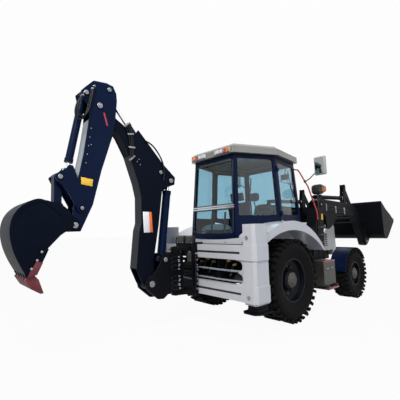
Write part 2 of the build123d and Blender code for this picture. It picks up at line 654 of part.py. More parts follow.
# Steering knuckles, each with its kingpin and spindle, and the mudguards they carry
guard_inner = front_tyre["radius"] + 35
guard_plate = 8.0
guard_width = front_tyre["width"] - 20
for name, side in (("left", 1), ("right", -1)):
    z = front_tyre["radius"]
    half = front_tyre["width"] / 2 * 0.78
    with BuildPart() as knuckle:
        with BuildSketch(Plane(origin=(front_axle_x, side * kingpin_y, z - knuckle_half))):
            Circle(58)
        extrude(amount=2 * knuckle_half)
        with BuildSketch(Plane(origin=(front_axle_x, side * kingpin_y, z - yoke_height - 8))):
            Circle(kingpin)
        extrude(amount=2 * yoke_height + 20)
        inner = kingpin_y
        outer = front_wheel_y + half * 0.55 - 6
        add(disc(forward(side * (inner + outer) / 2), (wheelbase, z), front_spindle, outer - inner))
        outer = front_wheel_y - half * 0.1 - 8
        add(disc(forward(side * (inner + 60 + outer) / 2), (wheelbase, z), 95, outer - inner - 60))
        # strut up to the mudguard's inner edge
        top = z + guard_inner + guard_plate
        add(box_between((2310, min(side * 690, side * 714), z + yoke_height + 6),
                        (2390, max(side * 690, side * 714), top)))
        with BuildSketch(Plane(origin=(front_axle_x, side * kingpin_y, z + yoke_height + 1))):
            Circle(50)
        extrude(amount=24)
        low = side * 700
        high = side * (front_wheel_y - guard_width / 2 - seat_gap)
        add(box_between((2310, min(low, high), top - 30), (2390, max(low, high), top)))
    save(knuckle, "knuckle_" + name)
    with BuildPart() as front_mudguard:
        with BuildSketch(forward(side * front_wheel_y)):
            with Locations((wheelbase, z)):
                Circle(guard_inner + guard_plate)
                Circle(guard_inner, mode=Mode.SUBTRACT)
            with BuildLine():
                Polyline((wheelbase, z), (wheelbase + 900, z + 520), (wheelbase + 900, z + 900),
                         (wheelbase - 900, z + 900), (wheelbase - 900, z + 150), close=True)
            make_face(mode=Mode.INTERSECT)
        extrude(amount=guard_width / 2, both=True)
    save(front_mudguard, "front_mudguard_" + name)

# Power train: the engine as one plain block, the gearbox with its bell housing and shafts
with BuildPart() as engine_block:
    add(box_between((1455, -265, rail_low + 2), (2350, 265, 1300)))
    for x in (1520, 2140):
        add(box_between((x, -rail_y - 25, rail_high + seat_gap), (x + 120, rail_y + 25, rail_high + 30)))
save(engine_block, "engine_block")

with BuildPart() as gearbox:
    add(box_between((450, -200, 520), (1200, 200, 940)))
    add(box_between((700, -270, 800), (800, 270, 860)))
    with BuildSketch(Plane(origin=(rear_axle_x + 1200, 0, 985), x_dir=(0, 1, 0), z_dir=(1, 0, 0))):
        Circle(200)
    extrude(amount=254)
    shaft_start = rear_bulge + seat_gap
    with BuildSketch(Plane(origin=(rear_axle_x + shaft_start, 0, rear_tyre["radius"]), x_dir=(0, 1, 0),
                           z_dir=(1, 0, 0))):
        Circle(38)
    extrude(amount=460 - shaft_start)
    add(box_between((1050, -110, 430), (1200, 110, 525)))
    with BuildSketch(Plane(origin=(rear_axle_x + 1190, 0, front_tyre["radius"] - front_drop),
                           x_dir=(0, 1, 0), z_dir=(1, 0, 0))):
        Circle(34)
    extrude(amount=wheelbase - 1190 - front_bulge - seat_gap)
save(gearbox, "gearbox")

# Bonnet: side panels, lid and nose
bonnet_rear = 1110.0
bonnet_front = 2740.0
bonnet_half = 420.0
bonnet_low = 955.0
bonnet_split = 1400.0
bonnet_top = 1600.0
nose_front = 2900.0
panel = 18.0
lid_hinge = (bonnet_rear - 12, bonnet_top + 12)
lid_hinge_y = 200.0
with BuildPart() as bonnet_sides:
    for side in (-1, 1):
        add(box_between((bonnet_rear, side * bonnet_half - (panel if side > 0 else 0), bonnet_low),
                        (bonnet_front, side * bonnet_half + (panel if side < 0 else 0), bonnet_split)))
    add(box_between((bonnet_rear, -bonnet_half, bonnet_low), (bonnet_rear + panel, bonnet_half, bonnet_split)))
    for x in (1300, 2500):
        for side in (-1, 1):
            add(box_between((x, min(side * 290, side * bonnet_half), rail_high + seat_gap),
                            (x + 60, max(side * 290, side * bonnet_half), rail_high + 12)))
    # hinge straps behind the rear panel
    for side in (-1, 1):
        y = side * lid_hinge_y
        add(slab(forward(y), ((bonnet_rear - 24, 1250), (bonnet_rear + 5, 1250), (bonnet_rear + 5, 1399),
                              (bonnet_rear - seat_gap, 1399), (bonnet_rear - seat_gap, 1625),
                              (bonnet_rear - 24, 1625)), 24))
        add(disc(forward(y + side * 25), lid_hinge, 8, 70))
save(bonnet_sides, "bonnet_sides")

with BuildPart() as bonnet_lid:
    with BuildSketch(Plane(origin=(rear_axle_x + bonnet_rear, 0, 0), x_dir=(0, 1, 0), z_dir=(1, 0, 0))):
        with BuildLine():
            Polyline((-bonnet_half, bonnet_split + seat_gap), (-bonnet_half, bonnet_top - 90),
                     (-bonnet_half + 90, bonnet_top), (bonnet_half - 90, bonnet_top),
                     (bonnet_half, bonnet_top - 90), (bonnet_half, bonnet_split + seat_gap), close=True)
        make_face()
    extrude(amount=bonnet_front - bonnet_rear)
    with BuildSketch(Plane(origin=(rear_axle_x + bonnet_rear + panel, 0, 0), x_dir=(0, 1, 0),
                           z_dir=(1, 0, 0))):
        with BuildLine():
            Polyline((-bonnet_half + panel, bonnet_split - 5), (-bonnet_half + panel, bonnet_top - 97),
                     (-bonnet_half + 97, bonnet_top - panel), (bonnet_half - 97, bonnet_top - panel),
                     (bonnet_half - panel, bonnet_top - 97), (bonnet_half - panel, bonnet_split - 5),
                     close=True)
        make_face()
    extrude(amount=bonnet_front - bonnet_rear - 2 * panel, mode=Mode.SUBTRACT)
    for side in (-1, 1):
        plane = forward(side * (lid_hinge_y + 32))
        add(disc(plane, lid_hinge, 14, 30))
        add(slab(plane, (shifted(lid_hinge, 0, 14), shifted(lid_hinge, 0, -2), (bonnet_rear, bonnet_top - 4),
                         (bonnet_rear + 90, bonnet_top - 4), (bonnet_rear + 90, bonnet_top + 12),
                         (bonnet_rear + 20, bonnet_top + 26)), 30))
        add(disc(plane, lid_hinge, 8 + fit, 32), mode=Mode.SUBTRACT)
save(bonnet_lid, "bonnet_lid")

grille_slats = 8
with BuildPart() as nose_grille:
    add(slab(forward(0), ((bonnet_front + running_gap, 830), (nose_front - 20, 830), (nose_front, 1000),
                          (nose_front - 30, 1480), (bonnet_front + 60, 1590),
                          (bonnet_front + running_gap, 1590)), 2 * bonnet_half))
    fillet(nose_grille.edges().filter_by(Axis.Z, tolerance=0.2).sort_by(Axis.X)[-4:], 30)
    add(box_between((rail_front - 130, -rail_y + 35, rail_low + 60 + seat_gap),
                    (bonnet_front + 20, rail_y - 35, rail_high)))
    for index in range(grille_slats):
        z = 1060 + index * 48
        add(box_between((nose_front - 70, -230, z), (nose_front + 20, 230, z + 26)), mode=Mode.SUBTRACT)
    for side in (-1, 1):
        add(box_between((nose_front - 45 - seat_gap, side * 320 - 60 - seat_gap, 1150 - seat_gap),
                        (nose_front + 30, side * 320 + 60 + seat_gap, 1270 + seat_gap)), mode=Mode.SUBTRACT)
save(nose_grille, "nose_grille")

# Step boxes: a tank on the right, a battery box on the left, with the treads
with BuildPart() as step_boxes:
    for side in (-1, 1):
        low = min(side * 815, side * 1070)
        high = max(side * 815, side * 1070)
        add(box_between((960, low, 430), (1400, high, 860)))
        low = min(side * 810.3, side * 1120)
        high = max(side * 810.3, side * 1120)
        add(box_between((1010, low, 360), (1400, high, 380)))
        for x in (1030, 1360):
            add(box_between((x, low, 380), (x + 15, high, 440)))
        inner = tower_out + tower_plate / 2 + seat_gap
        low = min(side * inner, side * 830)
        high = max(side * inner, side * 830)
        add(box_between((1260, low, 660), (1390, high, 740)))
save(step_boxes, "step_boxes")

# Rear fenders: one glossy panel over both wheels and under the rear window
fender_in = 600.0
fender_out = 1100.0
fender_skin = 30.0
fender_rear = -770.0
apron_back = -930.0
apron_low = 1275.0


def fender_outline(y, drop, foot):
    """The region under the fender's top curve, lowered by drop, down to the level foot."""
    with BuildSketch(forward(y)) as region:
        with BuildLine():
            rear = (fender_rear, 1395 - drop)
            crown = (0, 1612 - drop)
            front = (1000 - drop, 1080)
            ThreePointArc(rear, (-400, 1553 - drop), crown)
            ThreePointArc(crown, (600 - drop * 0.5, 1440 - drop * 0.8), front)
            Polyline(front, (front[0], foot), (fender_rear, foot), rear)
        make_face()
    return region.sketch


with BuildPart() as rear_fenders:
    for side in (-1, 1):
        depth = fender_out - fender_in
        y = side * (fender_in + fender_out) / 2
        extrude(fender_outline(y, 0, 1075), amount=depth / 2, both=True)
        extrude(fender_outline(y, fender_skin, 900), amount=depth / 2, both=True, mode=Mode.SUBTRACT)
    for side in (-1, 1):
        y = side * (fender_out - 12)
        extrude(fender_outline(y, 0, 1075), amount=12, both=True)
        y = side * (fender_in + 10)
        extrude(fender_outline(y, 0, 1075), amount=10, both=True)
    for side in (-1, 1):
        y = side * (fender_out - 10)
        with BuildSketch(forward(y)):
            with BuildLine():
                ThreePointArc((fender_rear - 40, 1240), (0, 1460), (960, 1080))
                Polyline((960, 1080), (960, 900), (fender_rear - 40, 900), (fender_rear - 40, 1240))
            make_face()
        extrude(amount=20, both=True, mode=Mode.SUBTRACT)
    with BuildSketch(Plane(origin=(rear_axle_x + apron_back, 0, 0), x_dir=(0, -1, 0), z_dir=(-1, 0, 0))):
        with BuildLine():
            ThreePointArc((-930, 1392), (0, 1335), (930, 1392))
            Polyline((930, 1392), (930, apron_low), (-930, apron_low), (-930, 1392))
        make_face()
    extrude(amount=-(fender_rear - apron_back))
save(rear_fenders, "rear_fenders")

# Cab shell: six leaning faces over the plan below, listed counter-clockwise from the rear right
cab_plan = ((-800, -560), (50, -880), (1040, -680), (1040, 680), (50, 880), (-800, 560))
cab_high = 2760.0
cab_lean = 3.5
cab_wall = 45.0
cab_pillar = 62.0
door_gap = 5.0
door_wall = 38.0
glass = 6.0
glass_inset = 14.0
plan_points = [Vector(rear_axle_x + x, y, cab_low) for x, y in cab_plan]


def cab_face(index):
    """The plane of one cab face, its origin at the face's first corner, y up the face."""
    first = plan_points[index]
    along = (plan_points[(index + 1) % 6] - first).normalized()
    out = along.cross(Vector(0, 0, 1))
    return Plane(origin=first, x_dir=along, z_dir=out * cos(radians(cab_lean))
                 + Vector(0, 0, 1) * sin(radians(cab_lean)))


def corner_lean(index):
    """How far a corner line moves along its faces for each unit up them."""
    before = (plan_points[index] - plan_points[index - 1]).normalized()
    after = (plan_points[(index + 1) % 6] - plan_points[index]).normalized()
    turn = radians(before.get_angle(after))
    return sin(radians(cab_lean)) * sin(turn) / (1 + cos(turn))


def face_panel(index, low, high, margin, inset, thickness, corner=40.0):
    """A panel in one cab face, between two levels above the cab's foot."""
    length = (plan_points[(index + 1) % 6] - plan_points[index]).length
    plane = cab_face(index)
    left = corner_lean(index)
    right = corner_lean((index + 1) % 6)
    with BuildPart() as piece:
        with BuildSketch(plane.offset(-inset)) as shape:
            with BuildLine():
                Polyline((margin + left * low, low), (length - margin - right * low, low),
                         (length - margin - right * high, high), (margin + left * high, high), close=True)
            make_face()
            fillet(shape.vertices(), corner)
        extrude(amount=-thickness)
    return piece.part


def arch_block(clearance):
    """What the fenders and the apron take out of the cab, grown by a clearance."""
    with BuildPart() as piece:
        for side in (-1, 1):
            y = side * (fender_in - seat_gap + 500)
            extrude(fender_outline(y, -clearance, 0), amount=500, both=True)
        add(box_between((apron_back - 200, -1200, 0), (fender_rear + seat_gap, 1200, 1392 + clearance)))
    return piece.part


# Door hinges: the pin line stands off the cab face beside the middle pillar
hinge_levels = (740.0, 1520.0)
hinge_half = 28.0
hinge_pin = 8.0
hinge_radius = 14.0
hinge_out = 20.0
hinge_side = 30.0


def hinge_plane(index, level):
    """The hinge's own plane: z up the pin line, y out of the cab, x along the cab face."""
    length = (plan_points[(index + 1) % 6] - plan_points[index]).length
    plane = cab_face(index)
    points = []
    for height in (level, level + 100):
        if index == 1:
            x = 25 + corner_lean(1) * height - hinge_side
        else:
            x = length - 25 - corner_lean(4) * height + hinge_side
        points.append(plane.from_local_coords(Vector(x, height, hinge_out)))
    up = (points[1] - points[0]).normalized()
    return Plane(origin=points[0], x_dir=plane.z_dir.cross(up), z_dir=up)


# Columns: face index, node name, lowest and highest level of the window above the cab's foot
window_table = (
    (0, "side", 720, 1690),
    (2, "front", 420, 1690),
    (4, "side", 720, 1690),
    (5, "rear", 440, 1690),
)
door_faces = (("right", 1), ("left", 3))
door_low = 250.0
door_high = 1715.0
with BuildPart() as cab_shell:
    with BuildSketch(Plane.XY.offset(cab_low)):
        with BuildLine():
            Polyline(*[(point.X, point.Y) for point in plan_points], close=True)
        make_face()
    extrude(amount=cab_high - cab_low, taper=cab_lean)
    with BuildSketch(Plane.XY.offset(cab_low + 40)):
        with BuildLine():
            Polyline(*[(point.X, point.Y) for point in plan_points], close=True)
        make_face()
        offset(amount=-cab_wall - 40 * sin(radians(cab_lean)), kind=Kind.INTERSECTION, mode=Mode.REPLACE)
    extrude(amount=cab_high - cab_low, taper=cab_lean, mode=Mode.SUBTRACT)
    for index, _, low, high in window_table:
        add(face_panel(index, low, high, cab_pillar, -10, cab_wall + 40), mode=Mode.SUBTRACT)
    for _, index in door_faces:
        add(face_panel(index, door_low, door_high, 25, -10, cab_wall + 60, corner=30), mode=Mode.SUBTRACT)
    add(arch_block(seat_gap), mode=Mode.SUBTRACT)
    for _, index in door_faces:
        for level in hinge_levels:
            plane = hinge_plane(index, level)
            for z in (-hinge_half - 16, hinge_half + 1):
                with BuildSketch(plane.offset(z)) as lug:
                    Circle(hinge_radius)
                    with Locations((0, -hinge_out / 2 - 6)):
                        Rectangle(2 * hinge_radius, hinge_out + 12)
                extrude(amount=15)
            with BuildSketch(plane.offset(-hinge_half - 10)):
                Circle(hinge_pin)
            extrude(amount=2 * hinge_half + 20)
save(cab_shell, "cab_shell")

with BuildPart() as cab_windows:
    for index, _, low, high in window_table:
        add(face_panel(index, low, high, cab_pillar, glass_inset, glass))
save(cab_windows, "cab_windows")

door_frame = 55.0
for name, index in door_faces:
    with BuildPart() as door:
        add(face_panel(index, door_low + door_gap, door_high - door_gap, 25 + door_gap, 0, door_wall))
        add(arch_block(40), mode=Mode.SUBTRACT)
        add(face_panel(index, door_low + 480, door_high - door_frame, 25 + door_frame, -10, door_wall + 20),
            mode=Mode.SUBTRACT)
        toward_door = 1 if index == 1 else -1
        for level in hinge_levels:
            plane = hinge_plane(index, level)
            along = 1 if plane.x_dir.dot(cab_face(index).x_dir) > 0 else -1
            reach = toward_door * along
            with BuildSketch(plane.offset(-hinge_half)):
                Circle(hinge_radius)
                with Locations((reach * 38, 0)):
                    Rectangle(76, 16)
                with Locations((reach * 60, -hinge_out / 2)):
                    Rectangle(32, hinge_out + 10)
            extrude(amount=2 * hinge_half)
            with BuildSketch(plane.offset(-hinge_half - 1)):
                Circle(hinge_pin + fit)
            extrude(amount=2 * hinge_half + 2, mode=Mode.SUBTRACT)
    save(door, "door_" + name)
    with BuildPart() as door_glass:
        add(face_panel(index, door_low + 480, door_high - door_frame, 25 + door_frame, glass_inset, glass))
    save(door_glass, "door_glass_" + name)

# Roof: a thick overhanging panel with a domed top
roof_overhang = 70.0
roof_band = 110.0
roof_rise = 50.0
with BuildPart() as cab_roof:
    with BuildSketch(Plane.XY.offset(cab_high)) as roof_plan:
        with BuildLine():
            Polyline(*[(point.X, point.Y) for point in plan_points], close=True)
        make_face()
        inset = (cab_high - cab_low) * sin(radians(cab_lean)) / cos(radians(cab_lean))
        offset(amount=roof_overhang - inset, kind=Kind.INTERSECTION, mode=Mode.REPLACE)
        fillet(roof_plan.vertices(), 60)
    extrude(amount=roof_band)
    extrude(cab_roof.faces().sort_by(Axis.Z)[-1], amount=roof_rise, taper=55)
    with BuildSketch(Plane.XY.offset(cab_high)) as roof_hollow:
        with BuildLine():
            Polyline(*[(point.X, point.Y) for point in plan_points], close=True)
        make_face()
        offset(amount=-inset - cab_wall - 20, kind=Kind.INTERSECTION, mode=Mode.REPLACE)
    extrude(amount=roof_band - 25, mode=Mode.SUBTRACT)
save(cab_roof, "cab_roof")

# Seat, console, levers and steering wheel, all on the cab floor
floor_top = cab_low + 40
with BuildPart() as seat:
    add(box_between((-60, -200, floor_top), (340, 200, floor_top + 260)))
    add(slab(forward(0), ((-80, floor_top + 255), (420, floor_top + 255), (450, floor_top + 400),
                          (60, floor_top + 400), (-60, floor_top + 1040), (-180, floor_top + 1040),
                          (-90, floor_top + 400)), 500, corner=25))
save(seat, "seat")

with BuildPart() as cab_controls:
    add(slab(forward(0), ((760, floor_top), (920, floor_top), (900, floor_top + 640),
                          (780, floor_top + 640)), 420))
    add(slab(forward(0), ((-700, floor_top), (-560, floor_top), (-590, floor_top + 460),
                          (-690, floor_top + 460)), 500))
    for y in (-160, 160):
        add(slab(forward(y), ((-650, floor_top + 455), (-625, floor_top + 455), (-590, floor_top + 760),
                              (-615, floor_top + 760)), 24))
    column = Plane(origin=(rear_axle_x + 790, 0, floor_top + 560), x_dir=(0, 1, 0), z_dir=(-0.5, 0, 0.866))
    with BuildPart(column, mode=Mode.PRIVATE) as wheel:
        Cylinder(22, 260, align=(Align.CENTER, Align.CENTER, Align.MIN))
        with Locations((0, 0, 250)):
            Torus(190, 14)
            Box(380, 26, 14)
            Box(26, 380, 14)
    add(wheel.part)
save(cab_controls, "cab_controls")

# Lamps: the rear clusters on the roof, the front work lamps, the head lamps and the indicators
roof_back = min(vertex.X for vertex in cab_roof.vertices()) - rear_axle_x
roof_front = max(vertex.X for vertex in cab_roof.vertices()) - rear_axle_x
with BuildPart() as lamps:
    for side in (-1, 1):
        for offset_y, width in ((430, 70), (350, 70), (270, 70), (170, 100)):
            y = side * offset_y
            add(box_between((roof_back - 22, y - width / 2, cab_high + 22), (roof_back - seat_gap, y + width / 2,
                                                                       cab_high + 90)))
        add(box_between((roof_front + seat_gap, side * 480 - 60, cab_high + 15),
                        (roof_front + 40, side * 480 + 60, cab_high + 95)))
        add(box_between((nose_front - 45, side * 320 - 60, 1150), (nose_front + 2, side * 320 + 60, 1270)))
save(lamps, "lamps")

# Handrails from the cab's front corners to the towers, and the mirrors clamped on them
rail_tube = 14.0
rail_foot_y = 814.3
with BuildPart() as handrails:
    for side in (-1, 1):
        face = cab_face(2)
        half = (plan_points[3] - plan_points[2]).length / 2
        start = face.from_local_coords(Vector(half + side * 600, 1640, seat_gap))
        lead = face.from_local_coords(Vector(half + side * 600, 1640, 150))
        points = [start, lead] + [Vector(rear_axle_x + x, side * y, z) for x, y, z in
                                  ((1180, 740, 2300), (1330, rail_foot_y, 1800), (1350, rail_foot_y, 1640))]
        with BuildLine() as path:
            FilletPolyline(*points, radius=60)
        with BuildSketch(Plane(origin=start, z_dir=lead - start)):
            Circle(rail_tube)
        sweep(path=path.wires()[0])
save(handrails, "handrails")

mirror_clamp = 24.0
with BuildPart() as mirrors:
    for side in (-1, 1):
        upper = cab_face(2).from_local_coords(
            Vector((plan_points[3] - plan_points[2]).length / 2 + side * 600, 1640, 150))
        lower = Vector(rear_axle_x + 1180, side * 740, 2300)
        held = upper + (lower - upper) * 0.7
        grip = Plane(origin=held, z_dir=(lower - upper))
        with BuildPart(grip, mode=Mode.PRIVATE) as clamp:
            Cylinder(mirror_clamp, 40)
        add(clamp.part)
        points = [held + Vector(0, side * 5, 0), held + Vector(-10, side * 110, 40),
                  Vector(rear_axle_x + 1100, side * 1040, 2600)]
        with BuildLine() as path:
            FilletPolyline(*points, radius=40)
        with BuildSketch(Plane(origin=points[0], z_dir=points[1] - points[0])):
            Circle(10)
        sweep(path=path.wires()[0])
        low = min(side * 960, side * 1160)
        high = max(side * 960, side * 1160)
        add(box_between((1075, low, 2490), (1125, high, 2820)))
        with BuildPart(grip, mode=Mode.PRIVATE) as bore:
            Cylinder(rail_tube + fit, 44)
        add(bore.part, mode=Mode.SUBTRACT)
save(mirrors, "mirrors")

# Loader arms: two bent arms joined by a cross tube behind the bucket
arm_side = ((1450, 1870), (1455, 2030), (1560, 2075), (3120, 2020), (3440, 1890), (3890, 1200),
            (3895, 1060), (3800, 995), (3690, 1040), (3310, 1590), (3150, 1730), (2350, 1720),
            (2060, 1502), (1920, 1444), (1838, 1458), (1790, 1720))
cross_tube = (3400, 1640)
with BuildPart() as loader_arm:
    for y in (-arm_y, arm_y):
        add(slab(forward(y), arm_side, arm_width, corner=20))
        add(slab(forward(y), ((1700, 1720), (2300, 1700), (2080, 1400), (1700, 1400)), 70),
            mode=Mode.SUBTRACT)
        add(disc(forward(y), lift_tip, 60, 70), mode=Mode.SUBTRACT)
        add(disc(forward(y), arm_pivot, arm_pin + fit, arm_width + 2), mode=Mode.SUBTRACT)
        add(disc(forward(y), bucket_hinge, arm_pin + fit, arm_width + 2), mode=Mode.SUBTRACT)
        inner = tilt_y - tilt_ram["width"] / 2 - 30
        outer = arm_y - arm_width / 2
        side = 1 if y > 0 else -1
        for pin, radius in ((tilt_base, tilt_ram["pin"]), (crank_pivot, crank_pin)):
            add(disc(forward(side * (inner + outer) / 2), pin, radius, outer - inner + 20))
        add(disc(forward(side * (outer - 10)), tilt_base, 50, 30))
        add(slab(forward(side * (outer + 20)), ((1730, 2000), (1870, 2000), (1845, 2180), (1755, 2180)), 40))
        add(disc(forward(side * inner), tilt_base, 34, 10))
        add(disc(forward(side * (outer - 10)), crank_pivot, 60, 24))
        add(disc(forward(side * inner), crank_pivot, 40, 10))
    add(disc(forward(0), cross_tube, 68, 2 * arm_y))
save(loader_arm, "loader_arms")

crank_plate = 18.0
crank_half = tilt_ram["width"] / 2 + running_gap + crank_plate / 2
with BuildPart() as bell_cranks:
    for side in (-1, 1):
        for offset_y in (-crank_half, crank_half):
            y = side * tilt_y + offset_y
            add(slab(forward(y), (shifted(crank_pivot, -60, -60), shifted(crank_pivot, 70, -50),
                                  shifted(crank_pivot, 60, 150), shifted(crank_top, 55, -40),
                                  shifted(crank_top, 45, 50), shifted(crank_top, -50, 50),
                                  shifted(crank_top, -60, -60), shifted(tilt_tip, -45, 60),
                                  shifted(tilt_tip, -50, -60)), crank_plate, corner=18))
            add(disc(forward(y), crank_pivot, crank_pin + fit, crank_plate + 2), mode=Mode.SUBTRACT)
        add(disc(forward(side * tilt_y), crank_top, crank_pin, 2 * crank_half + crank_plate + 2 * pin_head))
        add(box_between((crank_pivot[0] - 20, side * tilt_y - crank_half, crank_pivot[1] + 105),
                        (crank_pivot[0] + 50, side * tilt_y + crank_half, crank_pivot[1] + 190)))
save(bell_cranks, "bell_cranks")

link_thickness = 40.0
with BuildPart() as tilt_links:
    for side in (-1, 1):
        plane = forward(side * tilt_y)
        add(slab(plane, (shifted(crank_top, -40, -34), shifted(crank_top, 40, 34),
                         shifted(bucket_top_pin, 36, 30), shifted(bucket_top_pin, -36, -30)), link_thickness))
        for pin in (crank_top, bucket_top_pin):
            add(disc(plane, pin, 50, link_thickness))
        add(disc(plane, crank_top, crank_pin + fit, link_thickness + 2), mode=Mode.SUBTRACT)
save(tilt_links, "tilt_links")

# Columns: node name, base pin, tip pin, distance from the middle, size
for name, base, tip, y, size in (("lift", lift_base, lift_tip, arm_y, lift_ram),
                                 ("tilt", tilt_base, tilt_tip, tilt_y, tilt_ram)):
    with BuildPart() as barrels:
        for side in (-1, 1):
            add(ram_barrel(forward(side * y), base, tip, size))
    save(barrels, name + "_ram_barrels")
    with BuildPart() as rods:
        for side in (-1, 1):
            add(ram_rod(forward(side * y), base, tip, size))
    save(rods, name + "_ram_rods")

# Loader bucket, drawn level from its hinge and rolled back to its carried angle
loader_bucket_width = 2340.0
roll_back = 37.0
bucket_skin = 14.0
bucket_cheek = 18.0
loader_teeth = 8
bucket_frame = Plane(origin=(rear_axle_x + bucket_hinge[0], 0, bucket_hinge[1]),
                     x_dir=(cos(radians(roll_back)), 0, sin(radians(roll_back))), z_dir=(0, -1, 0))


def across(y):
    return bucket_frame.offset(-y)


def in_bucket(pin):
    """A pin of the rest pose in the level bucket's own coordinates."""
    local = bucket_frame.to_local_coords(Vector(rear_axle_x + pin[0], 0, pin[1]))
    return (local.X, local.Y)


top_pin = in_bucket(bucket_top_pin)
with BuildPart() as loader_bucket:
    back = ((640, 745), (600, 700), (190, 60), (200, -40), (270, -120), (390, -145), (1000, -145))
    add(strip(across(0), back, bucket_skin, loader_bucket_width))
    cheek_line = ((648, 740), (607, 705), (182, 62), (190, -45), (264, -128), (388, -152), (1000, -152),
                  (1010, -120), (930, 100), (760, 420))
    for side in (-1, 1):
        add(slab(across(side * (loader_bucket_width - bucket_cheek) / 2), cheek_line, bucket_cheek))
        for offset_y in (-1, 1):
            gap = arm_width / 2 + running_gap + 12
            y = side * arm_y + offset_y * gap
            add(slab(across(y), ((-80, -60), (40, -95), (230, -90), (205, 60), (330, 270), (230, 270),
                                 (-60, 80)), 24, corner=15))
            gap = link_thickness / 2 + running_gap + 12
            y = side * tilt_y + offset_y * gap
            add(slab(across(y), (shifted(top_pin, -50, 40), shifted(top_pin, -50, -40), (368, 335),
                                 (568, 645), shifted(top_pin, 60, 70)), 24, corner=12))
        add(disc(across(side * arm_y), (0, 0), arm_pin, arm_width + 2 * running_gap + 48 + 2 * pin_head))
        add(disc(across(side * tilt_y), top_pin, 40, 2 * (link_thickness / 2 + running_gap + 24 + pin_head)))
        add(disc(across(side * tilt_y), top_pin, 60, link_thickness + 2 * running_gap), mode=Mode.SUBTRACT)
    pitch = (loader_bucket_width - 120) / (loader_teeth - 1)
    for index in range(loader_teeth):
        y = (index - (loader_teeth - 1) / 2) * pitch
        add(slab(across(y), ((900, -138), (900, -110), (1010, -118), (1130, -148), (1130, -156),
                             (1010, -165), (900, -165), (900, -152), (1000, -152), (1000, -138)), 70))
save(loader_bucket, "loader_bucket")
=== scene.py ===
import math

import bpy
from mathutils import Matrix, Vector


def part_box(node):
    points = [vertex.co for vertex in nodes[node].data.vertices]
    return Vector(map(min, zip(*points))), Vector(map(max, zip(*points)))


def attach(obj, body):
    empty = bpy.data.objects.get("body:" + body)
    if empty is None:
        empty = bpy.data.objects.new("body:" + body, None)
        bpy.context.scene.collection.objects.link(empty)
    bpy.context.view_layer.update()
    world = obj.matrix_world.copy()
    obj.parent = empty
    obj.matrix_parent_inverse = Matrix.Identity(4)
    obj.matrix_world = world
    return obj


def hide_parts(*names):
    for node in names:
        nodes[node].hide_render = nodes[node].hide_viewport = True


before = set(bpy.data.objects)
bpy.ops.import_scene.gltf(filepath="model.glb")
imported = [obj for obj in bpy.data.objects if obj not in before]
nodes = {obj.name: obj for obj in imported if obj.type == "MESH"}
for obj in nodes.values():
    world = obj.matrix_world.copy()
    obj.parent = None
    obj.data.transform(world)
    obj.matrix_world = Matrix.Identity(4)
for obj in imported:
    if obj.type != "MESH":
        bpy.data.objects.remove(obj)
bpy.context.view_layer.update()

REAR_AXLE = -0.503
SWING = REAR_AXLE - 1.350
SHIFT = 0.300
SIDES = (-1, 1)


def at(x, y, z):
    """A point given from the rear axle, in metres."""
    return Vector((REAR_AXLE + x, y, z))


def aft(h, y, z):
    """A point given behind the swing pin, y across from the arm's middle."""
    return Vector((SWING - h, SHIFT + y, z))


# Camera at the photograph's viewing angle
EYE = at(-4.410, -3.809, 1.516)
TURN_DEGREES = (48.467, 5.473, -1.614)
SENSOR_MM, LENS_MM = 36, 27.42
yaw, pitch, roll = (math.radians(angle) for angle in TURN_DEGREES)
ahead = Vector((math.cos(pitch) * math.cos(yaw), math.cos(pitch) * math.sin(yaw), math.sin(pitch)))
level = Vector((math.sin(yaw), -math.cos(yaw), 0))
above = level.cross(ahead)
right = level * math.cos(roll) + above * math.sin(roll)
upward = above * math.cos(roll) - level * math.sin(roll)
camera = bpy.data.objects.new("camera", bpy.data.cameras.new("camera"))
bpy.context.scene.collection.objects.link(camera)
camera.matrix_world = Matrix((
    (right.x, upward.x, -ahead.x, EYE.x),
    (right.y, upward.y, -ahead.y, EYE.y),
    (right.z, upward.z, -ahead.z, EYE.z),
    (0, 0, 0, 1)))
camera.data.sensor_width = SENSOR_MM
camera.data.lens = LENS_MM
bpy.context.scene.camera = camera
bpy.context.scene.view_settings.view_transform = "Standard"


# Node helpers
def link(tree, source, target):
    tree.links.new(source, target)


def make(tree, kind, **values):
    """A new node with its inputs set by name, or by number for those given as i0, i1 and so on."""
    node = tree.nodes.new(kind)
    for key, value in values.items():
        if key.startswith("i") and key[1:].isdigit():
            node.inputs[int(key[1:])].default_value = value
        elif hasattr(node, key):
            setattr(node, key, value)
        else:
            node.inputs[key.replace("_", " ")].default_value = value
    return node


def joint(tree, operation, first, second):
    """The output of a Math node between two sockets."""
    node = make(tree, "ShaderNodeMath", operation=operation)
    link(tree, first, node.inputs[0])
    link(tree, second, node.inputs[1])
    return node.outputs[0]


def new_material(name):
    """A material with its node tree and its Principled shader."""
    material = bpy.data.materials.new(name)
    material.use_nodes = True
    return material, material.node_tree, material.node_tree.nodes["Principled BSDF"]


def rgba(colour):
    return (*colour, 1.0)


